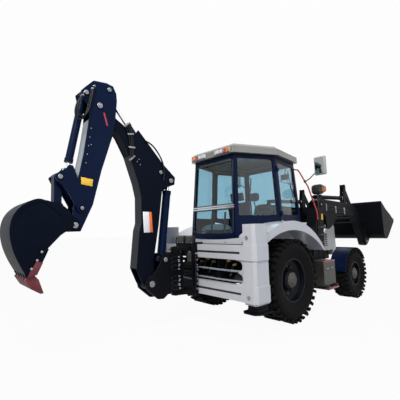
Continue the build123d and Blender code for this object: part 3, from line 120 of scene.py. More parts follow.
def weathering():
    """Shared effect: patchy tone, road dust that thickens towards the ground, and fine grain."""
    group = bpy.data.node_groups.new("weathering", "ShaderNodeTree")
    face = group.interface
    for name, kind, value in (
            ("Colour", "NodeSocketColor", (0.5, 0.5, 0.5, 1)),
            ("Dust colour", "NodeSocketColor", (0.3, 0.27, 0.22, 1)),
            ("Dust", "NodeSocketFloat", 0.3), ("Tone", "NodeSocketFloat", 0.1),
            ("Patch scale", "NodeSocketFloat", 2.0), ("Grain scale", "NodeSocketFloat", 200.0),
            ("Roughness", "NodeSocketFloat", 0.4)):
        socket = face.new_socket(name=name, in_out="INPUT", socket_type=kind)
        socket.default_value = value
    for name, kind in (("Colour", "NodeSocketColor"), ("Roughness", "NodeSocketFloat"),
                       ("Height", "NodeSocketFloat")):
        face.new_socket(name=name, in_out="OUTPUT", socket_type=kind)
    inner = make(group, "NodeGroupInput")
    outer = make(group, "NodeGroupOutput")
    place = make(group, "ShaderNodeTexCoord")
    patch = make(group, "ShaderNodeTexNoise", Detail=6.0, Roughness=0.62)
    grain = make(group, "ShaderNodeTexNoise", Detail=2.0)
    streak = make(group, "ShaderNodeTexNoise", Detail=4.0, Scale=6.0)
    squash = make(group, "ShaderNodeMapping")
    squash.inputs["Scale"].default_value = (3.0, 3.0, 0.35)
    for noise in (patch, grain):
        link(group, place.outputs["Object"], noise.inputs["Vector"])
    link(group, place.outputs["Object"], squash.inputs["Vector"])
    link(group, squash.outputs["Vector"], streak.inputs["Vector"])
    link(group, inner.outputs["Patch scale"], patch.inputs["Scale"])
    link(group, inner.outputs["Grain scale"], grain.inputs["Scale"])
    height = make(group, "ShaderNodeSeparateXYZ")
    link(group, place.outputs["Object"], height.inputs[0])
    low = make(group, "ShaderNodeMapRange", i1=0.0, i2=1.5, i3=1.0, i4=0.08)
    link(group, height.outputs["Z"], low.inputs[0])
    cloud = make(group, "ShaderNodeMapRange", i1=0.42, i2=0.68, i3=0.0, i4=1.0)
    link(group, patch.outputs[0], cloud.inputs[0])
    run = make(group, "ShaderNodeMapRange", i1=0.35, i2=0.75, i3=0.35, i4=1.0)
    link(group, streak.outputs[0], run.inputs[0])
    spread = joint(group, "MULTIPLY", low.outputs[0], cloud.outputs[0])
    streaked = joint(group, "MULTIPLY", spread, run.outputs[0])
    mask = joint(group, "MULTIPLY", streaked, inner.outputs["Dust"])
    tone = make(group, "ShaderNodeMapRange", i1=0.3, i2=0.7, i3=-0.5, i4=0.5)
    link(group, patch.outputs[0], tone.inputs[0])
    value = make(group, "ShaderNodeMath", operation="ADD", i0=1.0)
    link(group, joint(group, "MULTIPLY", tone.outputs[0], inner.outputs["Tone"]), value.inputs[1])
    vary = make(group, "ShaderNodeHueSaturation")
    link(group, inner.outputs["Colour"], vary.inputs["Color"])
    link(group, value.outputs[0], vary.inputs["Value"])
    mix = make(group, "ShaderNodeMix", data_type="RGBA")
    link(group, mask, mix.inputs[0])
    link(group, vary.outputs[0], mix.inputs[6])
    link(group, inner.outputs["Dust colour"], mix.inputs[7])
    link(group, mix.outputs[2], outer.inputs["Colour"])
    matt = make(group, "ShaderNodeMath", operation="MULTIPLY_ADD", i1=0.45)
    link(group, mask, matt.inputs[0])
    link(group, inner.outputs["Roughness"], matt.inputs[2])
    fleck = make(group, "ShaderNodeMath", operation="MULTIPLY_ADD", i1=0.12)
    link(group, patch.outputs[0], fleck.inputs[0])
    link(group, matt.outputs[0], fleck.inputs[2])
    link(group, fleck.outputs[0], outer.inputs["Roughness"])
    link(group, grain.outputs[0], outer.inputs["Height"])
    return group


WEATHER = weathering()


def finish(name, colour, roughness, dust=0.3, tone=0.12, patch=2.0, grain=220.0, bump=0.02, metallic=0.0,
           coat=0.0, dust_colour=(0.30, 0.26, 0.21), edge=0.004, sheen=0.0, weave=None, gloss=0.5):
    """A weathered material: the shared effect behind one Principled shader, with softened edges."""
    material, tree, shader = new_material(name)
    wear = tree.nodes.new("ShaderNodeGroup")
    wear.node_tree = WEATHER
    for key, value in (("Colour", rgba(colour)), ("Dust colour", rgba(dust_colour)), ("Dust", dust),
                       ("Tone", tone), ("Patch scale", patch), ("Grain scale", grain),
                       ("Roughness", roughness)):
        wear.inputs[key].default_value = value
    link(tree, wear.outputs["Colour"], shader.inputs["Base Color"])
    link(tree, wear.outputs["Roughness"], shader.inputs["Roughness"])
    relief = make(tree, "ShaderNodeBump", Strength=1.0, Distance=bump * 0.02)
    height = wear.outputs["Height"]
    if weave:
        place = make(tree, "ShaderNodeTexCoord")
        threads = []
        for axis in ("X", "Y", "Z"):
            thread = make(tree, "ShaderNodeTexWave", bands_direction=axis, Scale=weave, Distortion=0.4)
            link(tree, place.outputs["Object"], thread.inputs["Vector"])
            threads.append(thread.outputs[1])
        height = joint(tree, "ADD", joint(tree, "ADD", threads[0], threads[1]), threads[2])
    link(tree, height, relief.inputs["Height"])
    if edge:
        soft = make(tree, "ShaderNodeBevel", samples=4, Radius=edge)
        link(tree, soft.outputs[0], relief.inputs["Normal"])
    link(tree, relief.outputs[0], shader.inputs["Normal"])
    for key, value in (("Metallic", metallic), ("Coat Weight", coat), ("Coat Roughness", 0.08),
                       ("Sheen Weight", sheen), ("Specular IOR Level", gloss)):
        shader.inputs[key].default_value = value
    return material


def window_glass():
    """Blue-green tinted pane: it tints what is behind it and keeps a sharp reflection."""
    material, tree, shader = new_material("tinted_glass")
    tree.nodes.remove(shader)
    clear = make(tree, "ShaderNodeBsdfTransparent")
    clear.inputs[0].default_value = (0.66, 0.80, 0.85, 1)
    gloss = make(tree, "ShaderNodeBsdfGlossy")
    gloss.inputs["Roughness"].default_value = 0.02
    edge = make(tree, "ShaderNodeFresnel", IOR=1.5)
    inside = tree.nodes.new("ShaderNodeNewGeometry")
    outer = make(tree, "ShaderNodeMath", operation="SUBTRACT", i0=1.0)
    link(tree, inside.outputs["Backfacing"], outer.inputs[1])
    mix = make(tree, "ShaderNodeMixShader")
    link(tree, joint(tree, "MULTIPLY", edge.outputs[0], outer.outputs[0]), mix.inputs[0])
    link(tree, clear.outputs[0], mix.inputs[1])
    link(tree, gloss.outputs[0], mix.inputs[2])
    link(tree, mix.outputs[0], tree.nodes["Material Output"].inputs["Surface"])
    return material


def lens(name, colour):
    """A ribbed lamp lens with a deeper colour between its ribs: painted shade in the grooves."""
    material, tree, shader = new_material(name)
    place = make(tree, "ShaderNodeTexCoord")
    ribs = make(tree, "ShaderNodeTexWave", bands_direction="Y", Scale=70.0)
    link(tree, place.outputs["Object"], ribs.inputs["Vector"])
    # Darker where the ribs' relief is low: painted shade in the grooves
    tint = make(tree, "ShaderNodeMix", data_type="RGBA")
    tint.inputs[6].default_value = rgba(tuple(c * 0.55 for c in colour))
    tint.inputs[7].default_value = rgba(colour)
    link(tree, ribs.outputs[1], tint.inputs[0])
    link(tree, tint.outputs[2], shader.inputs["Base Color"])
    relief = make(tree, "ShaderNodeBump", Distance=0.002)
    link(tree, ribs.outputs[1], relief.inputs["Height"])
    link(tree, relief.outputs[0], shader.inputs["Normal"])
    shader.inputs["Roughness"].default_value = 0.12
    shader.inputs["Coat Weight"].default_value = 0.6
    return material


MAT = {
    "white": finish("white_paint", (0.50, 0.50, 0.515), 0.24, dust=0.25, tone=0.05, coat=0.4, edge=0.006),
    "cream": finish("cream_paint", (0.66, 0.64, 0.58), 0.30, dust=0.3, tone=0.06, coat=0.3, edge=0.008),
    "roof": finish("roof_paint", (0.165, 0.160, 0.142), 0.28, dust=0.1, tone=0.06, coat=0.4, edge=0.010),
    "beige": finish("mirror_shell", (0.36, 0.35, 0.30), 0.35, dust=0.1, coat=0.2, edge=0),
    "mirror": finish("mirror_glass", (0.30, 0.34, 0.33), 0.06, dust=0.0, tone=0.0, metallic=1.0, bump=0.0,
                     edge=0),
    "navy": finish("navy_paint", (0.0012, 0.0062, 0.0260), 0.30, dust=0.02, tone=0.3, edge=0.005,
                   gloss=0.06),
    "night": finish("night_paint", (0.0010, 0.0030, 0.0090), 0.40, dust=0.02, tone=0.3, edge=0.005,
                    gloss=0.05),
    "black": finish("black_paint", (0.0030, 0.0035, 0.0052), 0.42, dust=0.03, tone=0.2, edge=0.005,
                    gloss=0.07),
    "rim": finish("rim_paint", (0.003, 0.004, 0.008), 0.38, dust=0.10, tone=0.2, edge=0.006, gloss=0.10),
    "strip": finish("strip_paint", (0.014, 0.016, 0.020), 0.45, dust=0.08, tone=0.3, edge=0.002,
                    gloss=0.15),
    "pale": finish("pale_steel", (0.30, 0.33, 0.37), 0.35, dust=0.1, tone=0.2, metallic=0.3, edge=0),
    "hub": finish("hub_dust", (0.048, 0.043, 0.035), 0.62, dust=0.45, tone=0.3, patch=6.0, edge=0.006),
    "tyre": finish("tyre_rubber", (0.0035, 0.0035, 0.0040), 0.92, dust=0.05, tone=0.25, patch=5.0,
                   grain=420.0, bump=0.10, dust_colour=(0.07, 0.065, 0.06), edge=0.006, gloss=0.14),
    "iron": finish("cast_iron", (0.030, 0.030, 0.032), 0.62, dust=0.5, tone=0.3, patch=7.0, grain=300.0,
                   bump=0.12, edge=0.006),
    "grey": finish("dark_grey_paint", (0.018, 0.017, 0.015), 0.36, dust=0.20, tone=0.15, edge=0.005),
    "steel": finish("worn_steel", (0.26, 0.27, 0.29), 0.34, dust=0.25, tone=0.3, metallic=0.85, patch=8.0),
    "chrome": finish("chrome_rod", (0.78, 0.79, 0.80), 0.10, dust=0.05, tone=0.05, metallic=1.0, bump=0.0,
                     edge=0),
    "red": finish("red_paint", (0.34, 0.012, 0.016), 0.32, dust=0.12, coat=0.3, edge=0.003),
    "tooth": finish("tooth_red", (0.11, 0.006, 0.012), 0.46, dust=0.25, tone=0.35, patch=9.0, edge=0.006),
    "plastic": finish("black_plastic", (0.008, 0.008, 0.009), 0.50, dust=0.06, grain=600.0, bump=0.08,
                      edge=0.004),
    "fabric": finish("seat_fabric", (0.010, 0.013, 0.020), 0.85, dust=0.0, tone=0.2, bump=0.02, sheen=0.10,
                     edge=0, weave=420.0),
    "hose": finish("hose_rubber", (0.004, 0.004, 0.005), 0.40, dust=0.03, grain=500.0, bump=0.05, edge=0,
                   gloss=0.2),
    "yellow": finish("yellow_plate", (0.80, 0.46, 0.03), 0.40, dust=0.1, edge=0),
    "orange": finish("orange_plate", (0.80, 0.16, 0.03), 0.40, dust=0.1, edge=0),
    "label_white": finish("white_plate", (0.78, 0.78, 0.80), 0.40, dust=0.1, edge=0),
    "brass": finish("plated_brass", (0.45, 0.30, 0.10), 0.32, dust=0.1, tone=0.2, metallic=0.9, edge=0),
    "alu": finish("aluminium", (0.62, 0.62, 0.63), 0.30, dust=0.05, metallic=0.9, edge=0.002),
    "glass": window_glass(),
    "amber": lens("amber_lens", (0.85, 0.24, 0.02)),
    "red_lens": lens("red_lens", (0.60, 0.015, 0.03)),
    "clear_lens": lens("clear_lens", (0.80, 0.82, 0.84)),
}

LOOKS = {
    "white": "rear_frame rear_fenders",
    "cream": "bonnet_sides bonnet_lid nose_grille",
    "roof": "cab_roof",
    "night": "boom backhoe_bucket",
    "navy": "dipper tipping_lever bucket_link dipper_ram_barrel bucket_ram_barrel boom_ram_barrel "
            "cab_shell door_left door_right front_mudguard_left front_mudguard_right",
    "black": "carriage kingpost loader_arms loader_bucket bell_cranks tilt_links chassis_frame "
             "loader_towers lift_ram_barrels tilt_ram_barrels stabiliser_leg_left stabiliser_leg_right",
    "rim": "rim_rear_left rim_rear_right rim_front_left rim_front_right",
    "tyre": "tyre_rear_left tyre_rear_right tyre_front_left tyre_front_right",
    "iron": "rear_axle front_axle gearbox engine_block knuckle_left knuckle_right",
    "grey": "step_boxes",
    "chrome": "boom_ram_rod dipper_ram_rod bucket_ram_rod lift_ram_rods tilt_ram_rods",
    "glass": "cab_windows door_glass_left door_glass_right",
    "plastic": "cab_controls mirrors",
    "fabric": "seat",
    "red": "handrails",
    "clear_lens": "lamps",
}
for look, names in LOOKS.items():
    for name in names.split():
        mesh = nodes[name].data
        mesh.materials.clear()
        mesh.materials.append(MAT[look])


# Modelling helpers
def deselect():
    bpy.ops.object.select_all(action="DESELECT")


def aimed(place, axis):
    """The placement whose Z runs along an axis from a place."""
    turn = Vector(axis).to_track_quat("Z", "Y").to_matrix().to_4x4()
    return Matrix.Translation(Vector(place)) @ turn


def settle(piece, name, look, body="chassis", smooth=35.0):
    """Name a piece, or a list joined to one, and give it its material and the body that carries it."""
    if isinstance(piece, list):
        piece = joined(piece)
    deselect()
    piece.select_set(True)
    bpy.context.view_layer.objects.active = piece
    bpy.ops.object.transform_apply(location=True, rotation=True, scale=True)
    bpy.ops.object.shade_smooth_by_angle(angle=math.radians(smooth))
    piece.name = name
    piece.data.name = name
    piece.data.materials.clear()
    piece.data.materials.append(MAT[look])
    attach(piece, body)


def turned(radius, height, steps, sides=32, sunk=0.004):
    """A round piece on Z whose top is inset and raised in steps of (inset, rise)."""
    deselect()
    bpy.ops.mesh.primitive_cylinder_add(vertices=sides, radius=radius, depth=height + sunk,
                                        location=(0, 0, (height - sunk) / 2))
    piece = bpy.context.object
    bpy.ops.object.transform_apply(location=True)
    bpy.ops.object.mode_set(mode="EDIT")
    bpy.ops.mesh.select_mode(type="FACE")
    bpy.ops.mesh.select_all(action="DESELECT")
    bpy.ops.object.mode_set(mode="OBJECT")
    top = max(piece.data.polygons, key=lambda face: face.center.z)
    top.select = True
    bpy.ops.object.mode_set(mode="EDIT")
    for inset, rise in steps:
        bpy.ops.mesh.inset(thickness=inset, depth=0)
        bpy.ops.mesh.extrude_region_move(TRANSFORM_OT_translate={"value": (0, 0, rise)})
    bpy.ops.object.mode_set(mode="OBJECT")
    bevelled(piece, min(0.004, radius * 0.06), 2)
    return piece


def bevelled(piece, width, segments=3):
    """Round a piece's sharp edges."""
    modifier = piece.modifiers.new("edges", "BEVEL")
    modifier.width = width
    modifier.segments = segments
    modifier.limit_method = "ANGLE"
    modifier.angle_limit = math.radians(30)
    bpy.context.view_layer.objects.active = piece
    bpy.ops.object.modifier_apply(modifier="edges")


def block(low, high, width=0.008, segments=3):
    """A rounded block between two corners."""
    deselect()
    low, high = Vector(low), Vector(high)
    bpy.ops.mesh.primitive_cube_add(size=1, location=(low + high) / 2)
    piece = bpy.context.object
    piece.scale = [abs(a - b) for a, b in zip(high, low)]
    bpy.ops.object.transform_apply(location=True, rotation=True, scale=True)
    bevelled(piece, width, segments)
    return piece


def outline(points, depth, width=0.003):
    """A flat piece whose outline runs through points in space, thickened by the vector depth."""
    deselect()
    bpy.ops.mesh.primitive_circle_add(vertices=len(points), fill_type="NGON")
    piece = bpy.context.object
    for vertex, point in zip(piece.data.vertices, points):
        vertex.co = point
    bpy.ops.object.mode_set(mode="EDIT")
    bpy.ops.mesh.select_all(action="SELECT")
    bpy.ops.mesh.extrude_region_move(TRANSFORM_OT_translate={"value": depth})
    bpy.ops.mesh.select_all(action="SELECT")
    bpy.ops.mesh.normals_make_consistent(inside=False)
    bpy.ops.object.mode_set(mode="OBJECT")
    if width:
        bevelled(piece, width, 2)
    return piece


def tube(points, radius):
    """A round bar, pipe or hose along a smooth line."""
    deselect()
    curve = bpy.data.curves.new("line", "CURVE")
    curve.dimensions = "3D"
    curve.bevel_depth = radius
    curve.bevel_resolution = 4
    curve.resolution_u = 8
    curve.use_fill_caps = True
    spline = curve.splines.new("NURBS")
    spline.points.add(len(points) - 1)
    for knot, point in zip(spline.points, points):
        knot.co = (*point, 1)
    spline.order_u = 3
    spline.use_endpoint_u = True
    piece = bpy.data.objects.new("line", curve)
    bpy.context.scene.collection.objects.link(piece)
    piece.select_set(True)
    bpy.context.view_layer.objects.active = piece
    bpy.ops.object.convert(target="MESH")
    return bpy.context.object


def laid(points, depth, width=0.003):
    """A flat piece thickened across the machine, by depth towards its left side."""
    return outline(points, Vector((0, depth, 0)), width)


def hexagon(radius, height, rise, place, axis, sunk):
    """A hexagonal union whose end steps in by 4 mm and rises to its hose."""
    piece = turned(radius, height, ((0.004, rise),), sides=6, sunk=sunk)
    piece.matrix_world = aimed(place, axis)
    return piece


def repeated(piece, places):
    """One mesh of copies of a piece, set at each place; the piece itself goes."""
    copies = []
    for place in places:
        twin = piece.copy()
        twin.data = piece.data.copy()
        bpy.context.scene.collection.objects.link(twin)
        twin.matrix_world = place
        copies.append(twin)
    bpy.data.objects.remove(piece)
    return joined(copies)


def joined(pieces):
    """All pieces as one mesh."""
    deselect()
    for piece in pieces:
        piece.select_set(True)
    bpy.context.view_layer.objects.active = pieces[0]
    if len(pieces) > 1:
        bpy.ops.object.join()
    return bpy.context.object


# Wheels: hub caps, and a ring of nuts on each disc
# Columns: name, axle place, side, hub radius, hub face from the wheel's middle, nut circle, nut seat, nuts
WHEELS = (
    ("rear_left", at(0, 0.87, 0.66), 1, 0.150, 0.1435, 0.222, 0.034, 10),
    ("rear_right", at(0, -0.87, 0.66), -1, 0.150, 0.1435, 0.222, 0.034, 10),
    ("front_left", at(2.35, 0.915, 0.50), 1, 0.135, 0.109, 0.180, 0.026, 8),
    ("front_right", at(2.35, -0.915, 0.50), -1, 0.135, 0.109, 0.180, 0.026, 8),
)
for name, centre, side, hub, face, circle, seat, nuts in WHEELS:
    body = "wheel_" + name
    out = Vector((0, side, 0))
    cap = turned(hub * 0.80, 0.006, ((0.014, 0.016), (0.030, 0.010), (0.012, 0.008)), sides=48)
    cap.matrix_world = aimed(centre + out * face, out)
    settle(cap, "hub_cap_" + name, "hub", body)
    screw = turned(0.009, 0.006, ((0.003, 0.002),), sides=6)
    ring = [centre + out * (face + 0.006) + Vector((math.cos(a), 0, math.sin(a))) * hub * 0.71
            for a in (2 * math.pi * k / 12 for k in range(12))]
    settle(repeated(screw, [aimed(place, out) for place in ring]), "hub_screws_" + name, "steel", body)
    nut = turned(0.021, 0.020, ((0.005, 0.012),), sides=6, sunk=0.022)
    ring = [centre + out * seat + Vector((math.cos(a), 0, math.sin(a))) * circle
            for a in (2 * math.pi * (k + 0.5) / nuts for k in range(nuts))]
    settle(repeated(nut, [aimed(place, out) for place in ring]), "wheel_nuts_" + name, "hub", body)

# Shoulder blocks of the tread, one between each two lugs of a side
# Columns: tyre radius, tread depth, half width, lugs a side
TREADS = {"rear": (0.660, 0.034, 0.230, 18), "front": (0.500, 0.026, 0.175, 16)}
# Distance round the tyre from a lug's end to its shoulder block
SHOULDER = 0.048
for name, centre, side, *_ in WHEELS:
    radius, depth, half, lugs = TREADS[name.split("_")[0]]
    lump = block((0, -0.030, half * 0.52), (depth + 0.003, 0.030, half * 0.965), 0.006, 1)
    across = Vector((0, side, 0))
    seats = []
    for row, mirrored in ((0.5, 1), (1.0, -1)):
        for k in range(lugs):
            turn = 2 * math.pi * (k + row) / lugs - SHOULDER / radius
            out = Vector((math.cos(turn), 0, -side * math.sin(turn)))
            axle = across * mirrored
            seat = Matrix((out, axle.cross(out), axle)).transposed().to_4x4()
            seats.append(Matrix.Translation(centre + out * (radius - depth - 0.006)) @ seat)
    settle(repeated(lump, seats), "tread_blocks_" + name, "tyre", "wheel_" + name, 20)


def pin_cap(radius, place, side):
    """A machined cap with one bolt on a pin's end."""
    cap = turned(radius, 0.004, ((radius * 0.12, 0.003), (radius * 0.42, -0.003), (0.002, 0.010)), sides=28)
    cap.matrix_world = aimed(place, (0, side, 0))
    return cap


# Backhoe pins
# Columns: body, distance behind the swing pin, height, reach of the pin's end from the arm's middle, radius
PIN_ENDS = (
    ("kingpost", 0.540, 0.720, 0.139, 0.046), ("kingpost", 0.290, 1.060, 0.139, 0.036),
    ("boom", 0.130, 2.320, 0.105, 0.038), ("boom", 0.330, 2.440, 0.105, 0.030),
    ("dipper", 1.350, 3.280, 0.125, 0.040), ("dipper", 1.540, 3.420, 0.125, 0.032),
    ("dipper", 1.210, 3.550, 0.125, 0.032), ("dipper", 1.600, 1.830, 0.165, 0.024),
    ("tipping_lever", 1.870, 2.220, 0.153, 0.030), ("backhoe_bucket", 1.680, 1.610, 0.154, 0.038),
    ("backhoe_bucket", 1.870, 1.840, 0.104, 0.033),
)
for body in sorted({row[0] for row in PIN_ENDS}):
    caps = [pin_cap(radius, aft(h, side * reach, z), side)
            for owner, h, z, reach, radius in PIN_ENDS if owner == body for side in SIDES]
    settle(caps, "pin_ends_" + body, "steel", body)

# Loader pins
# Columns: body, distance ahead of the rear axle, height, reach of the pin's end, radius
LOADER_PINS = (("chassis", 1.550, 1.950, 0.800, 0.045), ("chassis", 0.880, 0.740, 0.800, 0.032),
               ("loader_bucket", 3.780, 1.100, 0.799, 0.030))
for index, (body, x, z, reach, radius) in enumerate(LOADER_PINS):
    caps = [pin_cap(radius, at(x, side * reach, z), side) for side in SIDES]
    settle(caps, "loader_pin_ends_%d" % index, "steel", body)

# Planes of the side plates' outer faces, from the arm's middle
BOOM_FACE = 0.095
DIPPER_FACE = 0.115
RIGHTWARDS = (0, -1, 0)


def swept(line, y, radius):
    """A hose along a line of (distance behind the swing pin, height), in the plane y."""
    return tube([aft(h, y, z) for h, z in line], radius)


# Hoses along the boom's right side, with their clamps, and the loops at the dipper's head
HOSE_LINE = ((0.848, 2.600), (0.850, 2.720), (0.856, 2.840), (0.868, 2.940), (0.895, 3.020), (0.940, 3.085))
HOSE_STEPS = (-0.030, 0.0, 0.030)
lines = [[(h - step * 0.8, z + step * 0.8) for h, z in HOSE_LINE] for step in HOSE_STEPS]
hoses = [swept(line, -0.112 - 0.005 * (number % 2), 0.0105) for number, line in enumerate(lines)]
clamps = []
for h, z, lean in ((0.872, 2.960, 1.35), (0.852, 2.760, 1.55)):
    strap = block((-0.052, -0.015, -0.013), (0.052, 0.015, 0.013), 0.005)
    strap.matrix_world = Matrix.Translation(aft(h, -0.114, z)) @ Matrix.Rotation(lean - math.pi / 2, 4, "Y")
    clamps.append(strap)
ends = [hexagon(0.016, 0.030, 0.018, aft(h, -0.098, z), RIGHTWARDS, 0.012)
        for line in lines for h, z in (line[0], line[-1])]
settle(hoses, "boom_hoses", "hose", "boom")
settle(clamps, "boom_hose_clamps", "steel", "boom")
settle(ends, "boom_hose_fittings", "steel", "boom")
ARC = ((0.620, 2.900), (0.520, 2.880), (0.400, 2.770), (0.300, 2.620), (0.262, 2.440), (0.290, 2.300))
settle(swept(ARC, -0.112, 0.012), "boom_hose_arc", "hose", "boom")
LOOP = ((1.470, 3.480), (1.500, 3.330), (1.545, 3.120), (1.600, 3.020), (1.675, 3.010), (1.700, 3.110),
        (1.665, 3.260), (1.600, 3.350))
loops = [swept([(h - shift * 0.6, z + shift) for h, z in LOOP], -0.137 - shift * 0.3, 0.0115)
         for shift in (0.0, 0.045)]
settle(loops, "dipper_hose_loops", "hose", "dipper")
ends = [hexagon(0.018, 0.034, 0.016, aft(h, -0.118, z), RIGHTWARDS, 0.020)
        for h, z in ((1.470, 3.480), (1.600, 3.350), (1.443, 3.525), (1.573, 3.395))]
settle(ends, "dipper_hose_fittings", "steel", "dipper")

# Blank plates on the boom and the dipper, at the places of the real labels, and the plain stripe
# Columns: name, look, body, plane, corners
PLATES = (
    ("boom_plate_white", "label_white", "boom", BOOM_FACE + 0.0005,
     ((0.665, 1.803), (0.560, 1.803), (0.545, 1.490), (0.650, 1.490))),
    ("boom_plate_orange", "orange", "boom", BOOM_FACE + 0.0008,
     ((0.560, 1.803), (0.512, 1.803), (0.490, 1.490), (0.545, 1.490))),
    ("dipper_plate_yellow", "yellow", "dipper", DIPPER_FACE + 0.0005,
     ((1.600, 2.243), (1.441, 2.224), (1.450, 2.128), (1.600, 2.149))),
    ("dipper_stripe_red", "red", "dipper", DIPPER_FACE + 0.0005,
     ((1.300, 3.190), (1.275, 3.190), (1.225, 3.010), (1.250, 3.010))),
)
for name, look, body, plane, corners in PLATES:
    settle(laid([aft(h, -plane, z) for h, z in corners], -0.002, 0.0005), name, look, body)


def strips(line, half, depth):
    """Plates along a line of (h, z), each as wide as two halves and thickened lengthwise."""
    return joined([outline([aft(h0, -half, z0), aft(h0, half, z0), aft(h1, half, z1), aft(h1, -half, z1)],
                           Vector((depth, 0, 0)), 0) for (h0, z0), (h1, z1) in zip(line, line[1:])])


# Boom: the cover plate over the rear edges of its side plates
COVER_LINE = ((0.7815, 0.965), (0.7265, 1.520), (0.6915, 1.630), (0.6915, 2.020), (0.7415, 2.230),
              (0.8815, 2.630))
settle(strips(COVER_LINE, 0.096, 0.004), "boom_cover_plate", "strip", "boom")

# Dipper: the bright plate that closes its rear between the side plates
REAR_LINE = ((1.497, 3.050), (1.560, 2.600), (1.639, 2.200), (1.655, 2.060))
settle(strips(REAR_LINE, 0.098, -0.003), "dipper_back_plate", "pale", "dipper")

# Rows of small screws on both arms' right faces
SCREWS = (
    ("dipper", DIPPER_FACE, ((1.470, 2.930), (1.488, 2.800), (1.506, 2.680), (1.522, 2.560), (1.538, 2.440),
                             (1.470, 2.700))),
    ("boom", BOOM_FACE, ((0.790, 2.640), (0.755, 2.560), (0.720, 2.600), (0.700, 2.520))),
)
for body, plane, seats in SCREWS:
    screw = turned(0.007, 0.004, ((0.002, 0.002),), sides=12)
    places = [aimed(aft(h, -plane, z), RIGHTWARDS) for h, z in seats]
    settle(repeated(screw, places), body + "_screws", "pale", body)

# Bucket: the rolled outer skin, smooth over the bent shell, and the flanges of its side plates
SHELL = ((1.836, 1.720), (1.942, 1.812), (2.055, 1.892), (2.163, 1.914), (2.297, 1.846), (2.392, 1.725),
         (2.425, 1.560), (2.396, 1.376), (2.331, 1.205), (2.252, 1.056))
BUCKET_MIDDLE = Vector((2.060, 1.500))
BUCKET_HALF = 0.300


def smoothed(knots, steps=6):
    """A smooth line (Catmull-Rom) through its knots."""
    line = []
    ends = [knots[0]] + list(knots) + [knots[-1]]
    for a, b, c, d in zip(ends, ends[1:], ends[2:], ends[3:]):
        for k in range(steps):
            t = k / steps
            line.append(tuple(
                0.5 * (2 * q + (r - p) * t + (2 * p - 5 * q + 4 * r - s) * t ** 2
                       + (3 * q - p - 3 * r + s) * t ** 3) for p, q, r, s in zip(a, b, c, d)))
    return line + [knots[-1]]


def drawn_in(line, amount):
    """A line moved towards the bucket's middle, run backwards."""
    return [tuple(Vector(point) + (BUCKET_MIDDLE - Vector(point)).normalized() * amount)
            for point in reversed(line)]


curve = smoothed(SHELL)
pieces = [laid([aft(h, -BUCKET_HALF - 0.0005, z) for h, z in curve + drawn_in(curve, 0.014)],
               2 * BUCKET_HALF + 0.001, 0)]
for side in SIDES:
    pieces.append(laid([aft(h, side * BUCKET_HALF, z) for h, z in curve + drawn_in(curve, 0.040)],
                       side * 0.006, 0))
settle(pieces, "bucket_skin", "night", "backhoe_bucket", 30)

# Bucket: red caps over the teeth, and the bolted side cutters
TEETH = 5
TOOTH_STEP = (0.600 - 0.062 - 0.020) / (TEETH - 1)
CAP_HALF = 0.034
CAP = ((2.196, 0.905), (2.262, 1.010), (2.205, 1.075), (2.124, 1.005), (2.069, 0.846), (2.103, 0.844))
CUTTER = ((2.222, 1.095), (2.247, 1.040), (2.148, 1.060), (2.090, 1.190), (2.155, 1.210))
CUTTER_BOLTS = ((2.205, 1.130), (2.150, 1.220), (2.105, 1.310))
caps = []
for index in range(TEETH):
    middle = (index - (TEETH - 1) / 2) * TOOTH_STEP
    caps.append(laid([aft(h, middle - CAP_HALF, z) for h, z in CAP], 2 * CAP_HALF, 0.004))
settle(caps, "backhoe_tooth_caps", "tooth", "backhoe_bucket")
cutters = [laid([aft(h, side * 0.3145, z) for h, z in CUTTER], side * 0.004, 0.001) for side in SIDES]
settle(cutters, "backhoe_side_cutters", "tooth", "backhoe_bucket")
bolt = turned(0.016, 0.010, ((0.004, 0.003),), sides=6)
places = [aimed(aft(h, side * 0.314, z), (0, side, 0)) for side in SIDES for h, z in CUTTER_BOLTS]
settle(repeated(bolt, places), "backhoe_cutter_bolts", "steel", "backhoe_bucket")

# Loader bucket: red tooth points with their bolts, in the rolled-back bucket's own plane
ROLL = math.radians(37)
POINTS = 8
POINT_STEP = (2.340 - 0.120) / (POINTS - 1)
POINT_HALF = 0.037
POINT = ((1.020, -0.112), (1.129, -0.1465), (1.129, -0.1575), (1.020, -0.171))


def in_bucket(x, y, z):
    """A point of the level loader bucket, from its hinge."""
    return at(3.780 + x * math.cos(ROLL) - z * math.sin(ROLL), y,
              1.100 + x * math.sin(ROLL) + z * math.cos(ROLL))


points, places = [], []
normal = in_bucket(0, 0, 1) - in_bucket(0, 0, 0)
for index in range(POINTS):
    across = index - (POINTS - 1) / 2
    points.append(laid([in_bucket(x, across * POINT_STEP - POINT_HALF, z) for x, z in POINT],
                       2 * POINT_HALF, 0.003))
    for shift in (-0.018, 0.018):
        places.append(aimed(in_bucket(0.950, across * 0.317 + shift, -0.108), normal))
settle(points, "loader_tooth_points", "red", "loader_bucket")
bolt = turned(0.014, 0.008, ((0.003, 0.003),), sides=6)
settle(repeated(bolt, places), "loader_tooth_bolts", "steel", "loader_bucket")

# Carriage: cover boxes over the clamps, a valve bank, and the hoses beside the kingpost
COVERS = (-0.120, 0.120)
BANK = (-0.180, -0.120, 0.120, 0.180)
REARWARDS = (-1, 0, 0)
covers = [block(aft(-0.200, y - 0.092, 1.282), aft(-0.267, y + 0.092, 1.412)) for y in COVERS]
settle(covers, "clamp_covers", "plastic", "carriage")
screw = turned(0.010, 0.006, ((0.003, 0.003),), sides=16)
places = [aimed(aft(-0.200, y + dy, z), REARWARDS) for y in COVERS for dy in (-0.070, 0, 0.070)
          for z in (1.300, 1.395)]
settle(repeated(screw, places), "clamp_cover_screws", "steel", "carriage")
tags = [block(aft(-0.1985, y - 0.050, 1.330), aft(-0.2010, y + 0.050, 1.372), 0.001, 1) for y in COVERS]
settle(tags, "cover_badges", "grey", "carriage")
valves = [block(aft(-0.172, y - 0.024, 0.985), aft(-0.230, y + 0.024, 1.130), 0.006) for y in BANK]
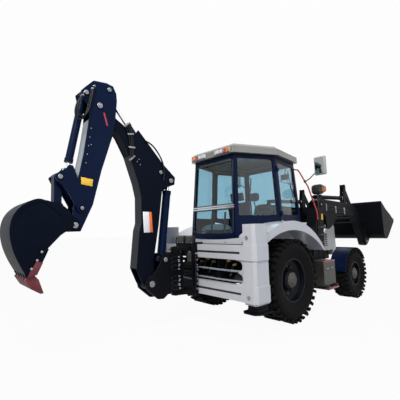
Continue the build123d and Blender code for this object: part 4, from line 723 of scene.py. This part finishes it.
settle(valves, "swing_valves", "iron", "carriage")
unions = turned(0.017, 0.024, ((0.004, 0.012),), sides=6, sunk=0.010)
places = [aimed(aft(-0.200, y, 1.130), (0, 0, 1)) for y in BANK]
settle(repeated(unions, places), "swing_valve_unions", "steel", "carriage")
VALVE_HOSE = ((-0.200, 0.180, 1.140), (-0.192, 0.192, 1.200), (-0.190, 0.222, 1.270),
              (-0.198, 0.240, 1.340), (-0.235, 0.245, 1.400))
bundle = [tube([aft(h, side * y, z) for h, y, z in VALVE_HOSE], 0.011) for side in SIDES]
settle(bundle, "swing_hoses", "hose", "carriage")
RIB_FACE = 0.250
RIB_LOOP = ((-0.230, 0.262, 0), (-0.190, 0.300, 0.030), (-0.175, 0.305, 0.120), (-0.200, 0.285, 0.200),
            (-0.235, 0.262, 0.220))
loops, ends = [], []
for side in SIDES:
    for z in (0.560, 0.640, 0.720, 0.800, 0.900):
        loops.append(tube([aft(h, side * y, z + rise) for h, y, rise in RIB_LOOP], 0.011))
        for height in (z, z + 0.220):
            foot = aft(-0.232, side * RIB_FACE, height)
            ends.append(hexagon(0.018, 0.022, 0.012, foot, (0, side, 0), 0.012))
settle(loops, "carriage_hoses", "hose", "carriage")
settle(ends, "carriage_unions", "pale", "carriage")

# Kingpost: looped hoses on the cheeks' outer faces, with bright unions
CHEEK_LINE = ((0.090, -0.012), (0.165, 0.004), (0.190, 0.032), (0.160, 0.054), (0.090, 0.060))
UNION_HALF = Vector((0.016, 0.009, 0.011))
loops, ends = [], []
for side in SIDES:
    for k, z in enumerate((0.585, 0.655, 0.725, 0.890, 0.960, 1.030)):
        low = aft(0.020 + 0.012 * (k % 2), side * 0.1325, z)
        high = aft(0.030, side * 0.1325, z + 0.050)
        bend = [aft(h, side * 0.1355, z + rise) for h, rise in CHEEK_LINE]
        loops.append(tube([low] + bend + [high], 0.008))
        ends += [block(foot - UNION_HALF, foot + UNION_HALF, 0.004, 2) for foot in (low, high)]
settle(loops, "kingpost_hoses", "hose", "kingpost")
settle(ends, "kingpost_unions", "pale", "kingpost")

# Rear frame: black plates that wrap the gussets in its bay, painted shade where the bay lies dark
GUSSET = ((-0.993, 1.202), (-0.993, 0.548), (-0.938, 0.548), (-0.698, 0.698), (-0.598, 0.758),
          (-0.598, 0.942), (-0.638, 0.987), (-0.813, 0.987), (-0.838, 1.052), (-0.938, 1.202))
GUSSET_Y, GUSSET_HALF = 0.345, 0.0165
shade_plates = [laid([at(x, side * GUSSET_Y - GUSSET_HALF, z) for x, z in GUSSET], 2 * GUSSET_HALF, 0)
          for side in SIDES]
shade_plates += [block(at(-1.004, side * GUSSET_Y - GUSSET_HALF, 0.702),
                 at(-0.990, side * GUSSET_Y + GUSSET_HALF, 1.058), 0.002, 1) for side in SIDES]
settle(shade_plates, "gusset_shade_plates", "black")

# Hydraulic lines in the rear frame's bay: hoses with brass unions, and two long pipes
BAY_HOSE = ((-0.880, 0, 0), (-0.950, 0, -0.010), (-0.965, 0.020, -0.080), (-0.940, 0.080, -0.160),
            (-0.900, 0.140, -0.180), (-0.840, 0.150, -0.170))
BAY_PIPE = ((-1.000, -0.880, 0), (-1.005, -0.500, -0.010), (-1.000, -0.050, 0), (-0.995, 0.400, -0.008),
            (-1.000, 0.880, 0))
lines, unions = [], []
for y, z in ((0.24, 1.02), (0.12, 0.98), (-0.02, 1.03), (-0.16, 0.99), (-0.50, 1.02), (-0.62, 0.97)):
    lines.append(tube([at(x, y + dy, z + dz) for x, dy, dz in BAY_HOSE], 0.013))
    union = turned(0.020, 0.034, ((0.005, 0.016),), sides=6, sunk=0.020)
    union.matrix_world = aimed(at(-0.905, y, z), (-1, 0, -0.1))
    unions.append(union)
settle(lines, "rear_bay_hoses", "hose")
pipes = [tube([at(x, y, z + dz) for x, y, dz in BAY_PIPE], 0.014) for z in (0.890, 0.745)]
settle(pipes, "rear_bay_pipes", "pale")
settle(unions, "rear_bay_unions", "brass")

# Rear frame: a white web beside each column, with two round bays and a tongue between them
WEB = ((0.945, 0.695), (0.770, 0.695), (0.775, 0.712), (0.830, 0.716), (0.870, 0.735), (0.892, 0.770),
       (0.892, 0.815), (0.870, 0.848), (0.830, 0.862), (0.810, 0.878), (0.830, 0.894), (0.870, 0.908),
       (0.892, 0.941), (0.892, 0.990), (0.870, 1.025), (0.830, 1.044), (0.775, 1.048), (0.770, 1.065),
       (0.945, 1.065))
webs = [outline([at(-1.060, side * y, z) for y, z in WEB], Vector((0.020, 0, 0))) for side in SIDES]
settle(webs, "bay_webs", "white")

# Loader arms: pipes along their inner faces to the bucket rams, with clips
PIPE_Y = 0.632
PIPE_LINE = ((1.640, 1.960), (1.900, 1.965), (2.600, 1.945), (3.060, 1.925))
pipes, clips = [], []
for side in SIDES:
    for shift in (0.0, 0.040):
        pipes.append(tube([at(x, side * PIPE_Y, z + shift) for x, z in PIPE_LINE], 0.009))
    for x in (1.950, 2.350, 2.750):
        clips.append(block(at(x - 0.015, side * (PIPE_Y - 0.010), 1.925),
                           at(x + 0.015, side * (PIPE_Y + 0.010), 2.020), 0.004, 2))
settle(pipes, "arm_pipes", "steel", "loader_arms")
settle(clips, "arm_pipe_clips", "plastic", "loader_arms")

# Loader towers: hoses up their outer faces
TOWER_FACE = 0.800
# Columns: start and spacing ahead of the rear axle, offset from the plane of the hoses, height
RISER = ((1.330, 0.045, 0, 0.900), (1.330, 0.045, 0.004, 1.300), (1.390, 0.040, 0.004, 1.600),
         (1.450, 0.035, 0, 1.840))
risers = [tube([at(x + k * step, side * (TOWER_FACE + 0.004 + out), z) for x, step, out, z in RISER], 0.010)
          for side in SIDES for k in range(3)]
settle(risers, "tower_hoses", "hose")

# Loader arms: hoses over their outer faces, with pale clips as painted highlights, and ribs on the towers
# Columns: distance ahead of the rear axle, plane, height, share of the hose's drop
ARM_HOSE = ((1.700, 0.768, 1.960, 1), (1.950, 0.772, 1.930, 1), (2.300, 0.770, 1.900, 1),
            (2.700, 0.768, 1.880, 1), (3.020, 0.766, 1.840, 1), (3.140, 0.764, 1.800, 0.6))
lines = [tube([at(x, side * y, z - share * 0.042 * k) for x, y, z, share in ARM_HOSE], 0.011)
         for side in SIDES for k in range(3)]
# The clips' pale colour is a painted highlight along the arms
clips = [block(at(x - 0.014, side * 0.758, z - 0.075), at(x + 0.014, side * 0.784, z + 0.075), 0.004, 2)
         for side in SIDES for x, z in ((1.820, 1.900), (2.250, 1.862), (2.680, 1.838))]
settle(lines, "arm_hoses", "hose", "loader_arms")
settle(clips, "arm_hose_highlight_clips", "pale", "loader_arms")
ribs = [block(at(1.345, side * TOWER_FACE, z), at(1.560, side * (TOWER_FACE + 0.012), z + 0.022), 0.004, 2)
        for side in SIDES for z in (1.180, 1.330, 1.480)]
settle(ribs, "tower_ribs", "grey")

# Rear frame: bolt heads on the columns and the apron, and dark strips in the beams' slots as painted shade
bolt = turned(0.026, 0.012, ((0.006, 0.006), (0.005, -0.006)), sides=24)
places = [aimed(at(x, side * y, z), REARWARDS)
          for x, y, z in ((-1.080, 1.010, 1.380), (-1.092, 1.020, 0.560)) for side in SIDES]
settle(repeated(bolt, places), "column_bolts", "steel")
bolt = turned(0.011, 0.006, ((0.003, 0.003),), sides=6)
places = [aimed(at(-0.930, y, 1.305), REARWARDS) for y in (-0.80, -0.45, 0.45, 0.80)]
settle(repeated(bolt, places), "apron_bolts", "steel")
# Black strips on the beams where their slots are: painted shade in the recesses
SLOT_HALF = 0.885
slots = []
for low, high in ((1.060, 1.270), (0.480, 0.700)):
    bottom, top = (low + high) / 2 - 0.021, (low + high) / 2 + 0.011
    corners = ((-SLOT_HALF, bottom), (SLOT_HALF, bottom), (SLOT_HALF, top), (-SLOT_HALF, top))
    slots.append(outline([at(-1.0785, y, z) for y, z in corners], Vector((0.003, 0, 0)), 0))
settle(slots, "beam_slot_shade_strips", "plastic")

# Lamps: lenses over the rear clusters, the work lamps and the front lamps on their posts
ROOF_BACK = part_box("cab_roof")[0][0]
ROOF_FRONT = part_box("cab_roof")[1][0]
LAMP_LOW, LAMP_HIGH = 2.780, 2.852
REAR_LAMPS = (("indicator", "amber", 0.430, 0.074), ("stop_lamp", "red_lens", 0.350, 0.074),
              ("reversing_lamp", "clear_lens", 0.270, 0.074), ("work_lamp", "clear_lens", 0.170, 0.104))
for name, look, middle, width in REAR_LAMPS:
    pair = [block((ROOF_BACK - 0.030, side * middle - width / 2, LAMP_LOW),
                  (ROOF_BACK - 0.001, side * middle + width / 2, LAMP_HIGH), 0.014, 4) for side in SIDES]
    settle(pair, "rear_" + name + "s", look)
pair = [block((ROOF_FRONT + 0.006, side * 0.480 - 0.063, 2.772),
              (ROOF_FRONT + 0.046, side * 0.480 + 0.063, 2.858), 0.014, 4) for side in SIDES]
settle(pair, "front_work_lamps", "clear_lens")
beacon = turned(0.045, 0.012, ((0.006, 0.030), (0.010, 0.014), (0.012, 0.006)))
beacon.matrix_world = Matrix.Translation((-0.380, -0.700, 2.885))
settle(beacon, "beacon", "amber", smooth=60)
POST = ((1.440, 0.790, 1.900), (1.440, 0.790, 2.030), (1.430, 0.815, 2.130), (1.430, 0.815, 2.200))
posts = [tube([at(x, side * y, z) for x, y, z in POST], 0.014) for side in SIDES]
settle(posts, "front_lamp_posts", "plastic")


def both_sides(low, high, width, segments):
    """Two rounded blocks, one on each side of the machine, as one piece."""
    return joined([block(at(low[0], side * low[1], low[2]), at(high[0], side * high[1], high[2]), width,
                         segments) for side in SIDES])


settle(both_sides((1.350, 0.690, 2.150), (1.520, 0.930, 2.350), 0.070, 6), "front_lamp_heads", "plastic",
       smooth=60)
settle(both_sides((1.385, 0.830, 2.180), (1.505, 0.975, 2.320), 0.055, 6), "front_lamp_lenses", "amber",
       smooth=60)

# Mirrors: a rounded shell with the glass facing the rear
settle(both_sides((1.066, 0.948, 2.478), (1.139, 1.172, 2.832), 0.026, 5), "mirror_shells", "beige",
       smooth=60)
settle(both_sides((1.062, 0.972, 2.502), (1.070, 1.148, 2.808), 0.003, 2), "mirror_glasses", "mirror")

# Cab: the rear window's rails and seals, the wiper and the inner mirror
LEAN_BACK = math.tan(math.radians(3.5))


def rear_face(y, z, out=0.0):
    """A point of the cab's rear face, a little outside it."""
    return at(-0.800 + (z - 1.000) * LEAN_BACK - out, y, z)


rails = [tube([rear_face(-0.500, z, 0.004), rear_face(0.500, z, 0.004)], 0.013) for z in (1.860, 1.895)]
settle(rails, "rear_window_rails", "alu")
seals = []
for low, high, half in ((1.470, 1.835, 0.482), (1.915, 2.640, 0.470)):
    ring = [rear_face(y, z, 0.002) for y, z in ((-half, low), (half, low), (half, high), (-half, high))]
    seals += [tube([a, b], 0.009) for a, b in zip(ring, ring[1:] + ring[:1])]
settle(seals, "rear_window_seals", "plastic")
wiper = [tube([at(0.985, -0.420, 2.640), at(0.990, -0.470, 2.350), at(0.995, -0.520, 2.050)], 0.007),
         tube([at(1.000, -0.360, 2.500), at(0.995, -0.470, 2.300), at(1.000, -0.560, 2.080)], 0.005)]
settle(wiper, "front_wiper", "plastic")
inner = block(at(0.860, -0.520, 2.450), at(0.885, -0.330, 2.560), 0.012, 4)
stem = tube([at(0.873, -0.425, 2.530), at(0.890, -0.425, 2.620), at(0.930, -0.425, 2.720)], 0.008)
settle([inner, stem], "inner_mirror", "plastic", smooth=60)

# Steps: treads with red edges and rows of studs, and the latches of the boxes
# Columns: rear end, front end, top, outer edge, inner edge
STEPS = ((0.965, 1.395, 0.860, 1.070, 0.815), (1.015, 1.395, 0.380, 1.120, 0.830))
STUD_COLUMNS, STUD_ROWS = 7, 4
treads, trims, places = [], [], []
for x0, x1, top, outer, inner in STEPS:
    for side in SIDES:
        treads.append(block(at(x0, side * inner, top), at(x1, side * (outer - 0.004), top + 0.008),
                            0.003, 2))
        trims.append(block(at(x0 - 0.004, side * (outer - 0.014), top - 0.012),
                           at(x1 + 0.004, side * (outer + 0.004), top + 0.012), 0.003, 2))
        for k in range(STUD_COLUMNS):
            x = x0 + 0.04 + k * (x1 - x0 - 0.08) / (STUD_COLUMNS - 1)
            for m in range(STUD_ROWS):
                y = inner + 0.04 + m * (outer - inner - 0.09) / (STUD_ROWS - 1)
                places.append(Matrix.Translation(at(x, side * y, top + 0.007)))
settle(treads, "step_treads", "grey")
settle(trims, "step_edges", "red")
stud = turned(0.010, 0.003, ((0.003, 0.001),), sides=10)
settle(repeated(stud, places), "step_studs", "steel")
latches = [both_sides((x, 1.069, 0.720), (x + 0.080, 1.078, 0.745), 0.003, 2) for x in (1.060, 1.240)]
settle(latches, "step_box_latches", "steel")
settle(both_sides((1.475, 0.7995, 1.640), (1.590, 0.8030, 1.760), 0.001, 1), "tower_plates", "yellow")

# Bonnet: louvres in the side panels, the mesh behind the nose's slats, and the head lamps' lenses
louvres = []
for side in SIDES:
    for k in range(7):
        z = 1.060 + k * 0.042
        corners = ((1.800, z), (2.450, z), (2.450, z + 0.020), (1.800, z + 0.020))
        louvres.append(outline([at(x, side * 0.4375, height) for x, height in corners],
                               Vector((0, side * 0.006, 0.004)), 0.001))
settle(louvres, "bonnet_louvres", "grey")
mesh = [block(at(2.831, -0.228, 1.058 + k * 0.048), at(2.836, 0.228, 1.088 + k * 0.048), 0.001, 1)
        for k in range(8)]
settle(mesh, "nose_meshes", "plastic")
lenses = [block(at(2.890, side * 0.320 - 0.058, 1.152), at(2.908, side * 0.320 + 0.058, 1.268), 0.012, 4)
          for side in SIDES]
settle(lenses, "head_lamp_lenses", "clear_lens")


# Seat: crowned cushions with stitched channels, in place of the plain seat
CUTS = 9
CHANNEL_PLACE, CHANNEL_WIDTH, CHANNEL_DEPTH = 0.55, 0.06, 0.22
PULLED_IN = 0.025


def cushion(low, high, crown, name, place=Matrix()):
    """A subdivided block with its broad faces crowned and its sides pulled in between corners."""
    deselect()
    low, high = Vector(low), Vector(high)
    bpy.ops.mesh.primitive_cube_add(size=1, location=(0, 0, 0))
    piece = bpy.context.object
    piece.scale = [abs(a - b) for a, b in zip(high, low)]
    bpy.ops.object.transform_apply(scale=True)
    bpy.ops.object.mode_set(mode="EDIT")
    bpy.ops.mesh.select_all(action="SELECT")
    bpy.ops.mesh.subdivide(number_cuts=CUTS)
    bpy.ops.object.mode_set(mode="OBJECT")
    size = high - low
    for vertex in piece.data.vertices:
        u, v, w = (2 * vertex.co[k] / abs(size[k]) for k in range(3))
        bulge = math.cos(u * math.pi / 2) * math.cos(v * math.pi / 2)
        channel = 1 - CHANNEL_DEPTH * math.exp(-((abs(v) - CHANNEL_PLACE) / CHANNEL_WIDTH) ** 2)
        vertex.co.z += crown * w * (max(bulge, 0) ** 0.5) * channel
        vertex.co.x *= 1 - PULLED_IN * (1 - v * v)
        vertex.co.y *= 1 - PULLED_IN * (1 - u * u)
    modifier = piece.modifiers.new("soft", "SUBSURF")
    modifier.levels = 1
    bevelled(piece, 0.018, 3)
    bpy.ops.object.modifier_apply(modifier="soft")
    piece.matrix_world = place @ Matrix.Translation((low + high) / 2)
    settle(piece, name, "fabric", smooth=60)


BACK_PLACE = Matrix.Translation(at(0.020, 0, 1.440)) @ Matrix.Rotation(math.radians(-101), 4, "Y")
cushion(at(-0.020, -0.240, 1.300), at(0.430, 0.240, 1.430), 0.030, "seat_cushion")
cushion((0.0, -0.235, -0.060), (0.560, 0.235, 0.050), 0.028, "seat_back", BACK_PLACE)
cushion((0.590, -0.130, -0.050), (0.740, 0.130, 0.040), 0.020, "seat_headrest", BACK_PLACE)
stand = block(at(-0.060, -0.200, 1.040), at(0.340, 0.200, 1.300), 0.020, 3)
settle(stand, "seat_stand", "plastic")
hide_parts("seat")

# Stage: a pale floor and world, a large soft key, a cooler fill and a low rim light
FLOOR_SIZE, FLOOR_TONE, FLOOR_VEIL = 160, 0.42, 0.95
BACKGROUND = (0.985, 0.985, 0.985, 1)
GROUND_LIGHT = (0.16, 0.155, 0.15, 1)
SKY_LIGHT = (0.34, 0.42, 0.56, 1)


def clear_rays(tree):
    """One for the rays that show the pale background: the camera's, mirrored ones, those through glass."""
    ray = tree.nodes.new("ShaderNodeLightPath").outputs
    seen = joint(tree, "MAXIMUM", ray["Is Camera Ray"], ray["Is Transmission Ray"])
    return joint(tree, "MAXIMUM", seen, ray["Is Glossy Ray"])


def floor_material():
    """Nearly white to the rays that show the background, with the object's shadow left in it."""
    material, tree, shader = new_material("stage_floor")
    for key, value in (("Base Color", rgba((FLOOR_TONE,) * 3)), ("Roughness", 0.9),
                       ("Specular IOR Level", 0.1)):
        shader.inputs[key].default_value = value
    share = make(tree, "ShaderNodeMath", operation="MULTIPLY", i1=FLOOR_VEIL)
    link(tree, clear_rays(tree), share.inputs[0])
    white = make(tree, "ShaderNodeEmission", Strength=1.0)
    mix = make(tree, "ShaderNodeMixShader")
    link(tree, share.outputs[0], mix.inputs[0])
    link(tree, shader.outputs[0], mix.inputs[1])
    link(tree, white.outputs[0], mix.inputs[2])
    link(tree, mix.outputs[0], tree.nodes["Material Output"].inputs["Surface"])
    return material


bpy.ops.mesh.primitive_plane_add(size=FLOOR_SIZE, location=(0, 0, 0))
floor = bpy.context.object
floor.name = "stage_floor"
floor.data.materials.append(floor_material())

world = bpy.data.worlds.new("studio")
bpy.context.scene.world = world
world.use_nodes = True
tree = world.node_tree
background = tree.nodes["Background"]
split = make(tree, "ShaderNodeSeparateXYZ")
link(tree, make(tree, "ShaderNodeTexCoord").outputs["Generated"], split.inputs[0])
sky = make(tree, "ShaderNodeValToRGB")
for element, position, colour in zip(sky.color_ramp.elements, (0.35, 0.75), (GROUND_LIGHT, SKY_LIGHT)):
    element.position = position
    element.color = colour
raised = make(tree, "ShaderNodeMath", operation="MULTIPLY_ADD", i1=0.5, i2=0.5)
link(tree, split.outputs["Z"], raised.inputs[0])
link(tree, raised.outputs[0], sky.inputs[0])
mix = make(tree, "ShaderNodeMix", data_type="RGBA")
mix.inputs[7].default_value = BACKGROUND
link(tree, clear_rays(tree), mix.inputs[0])
link(tree, sky.outputs[0], mix.inputs[6])
link(tree, mix.outputs[2], background.inputs["Color"])
background.inputs["Strength"].default_value = 1.0

# Columns: name, place, aim, size, power, colour
LIGHTS = (
    ("key", (-7.0, -4.0, 8.5), (-0.5, 0, 1.4), 3.0, 1000, (1.0, 0.97, 0.93)),
    ("fill", (1.5, -9.5, 4.5), (0.5, 0, 1.4), 6.0, 140, (0.90, 0.95, 1.0)),
    ("rim", (7.5, 5.0, 6.0), (0, 0, 1.6), 5.0, 220, (1, 1, 1)),
)
for name, place, aim, size, power, colour in LIGHTS:
    data = bpy.data.lights.new(name, "AREA")
    data.shape = "SQUARE"
    data.size = size
    data.energy = power
    data.color = colour
    lamp = bpy.data.objects.new(name, data)
    bpy.context.scene.collection.objects.link(lamp)
    lamp.location = place
    lamp.rotation_euler = (Vector(aim) - Vector(place)).to_track_quat("-Z", "Y").to_euler()
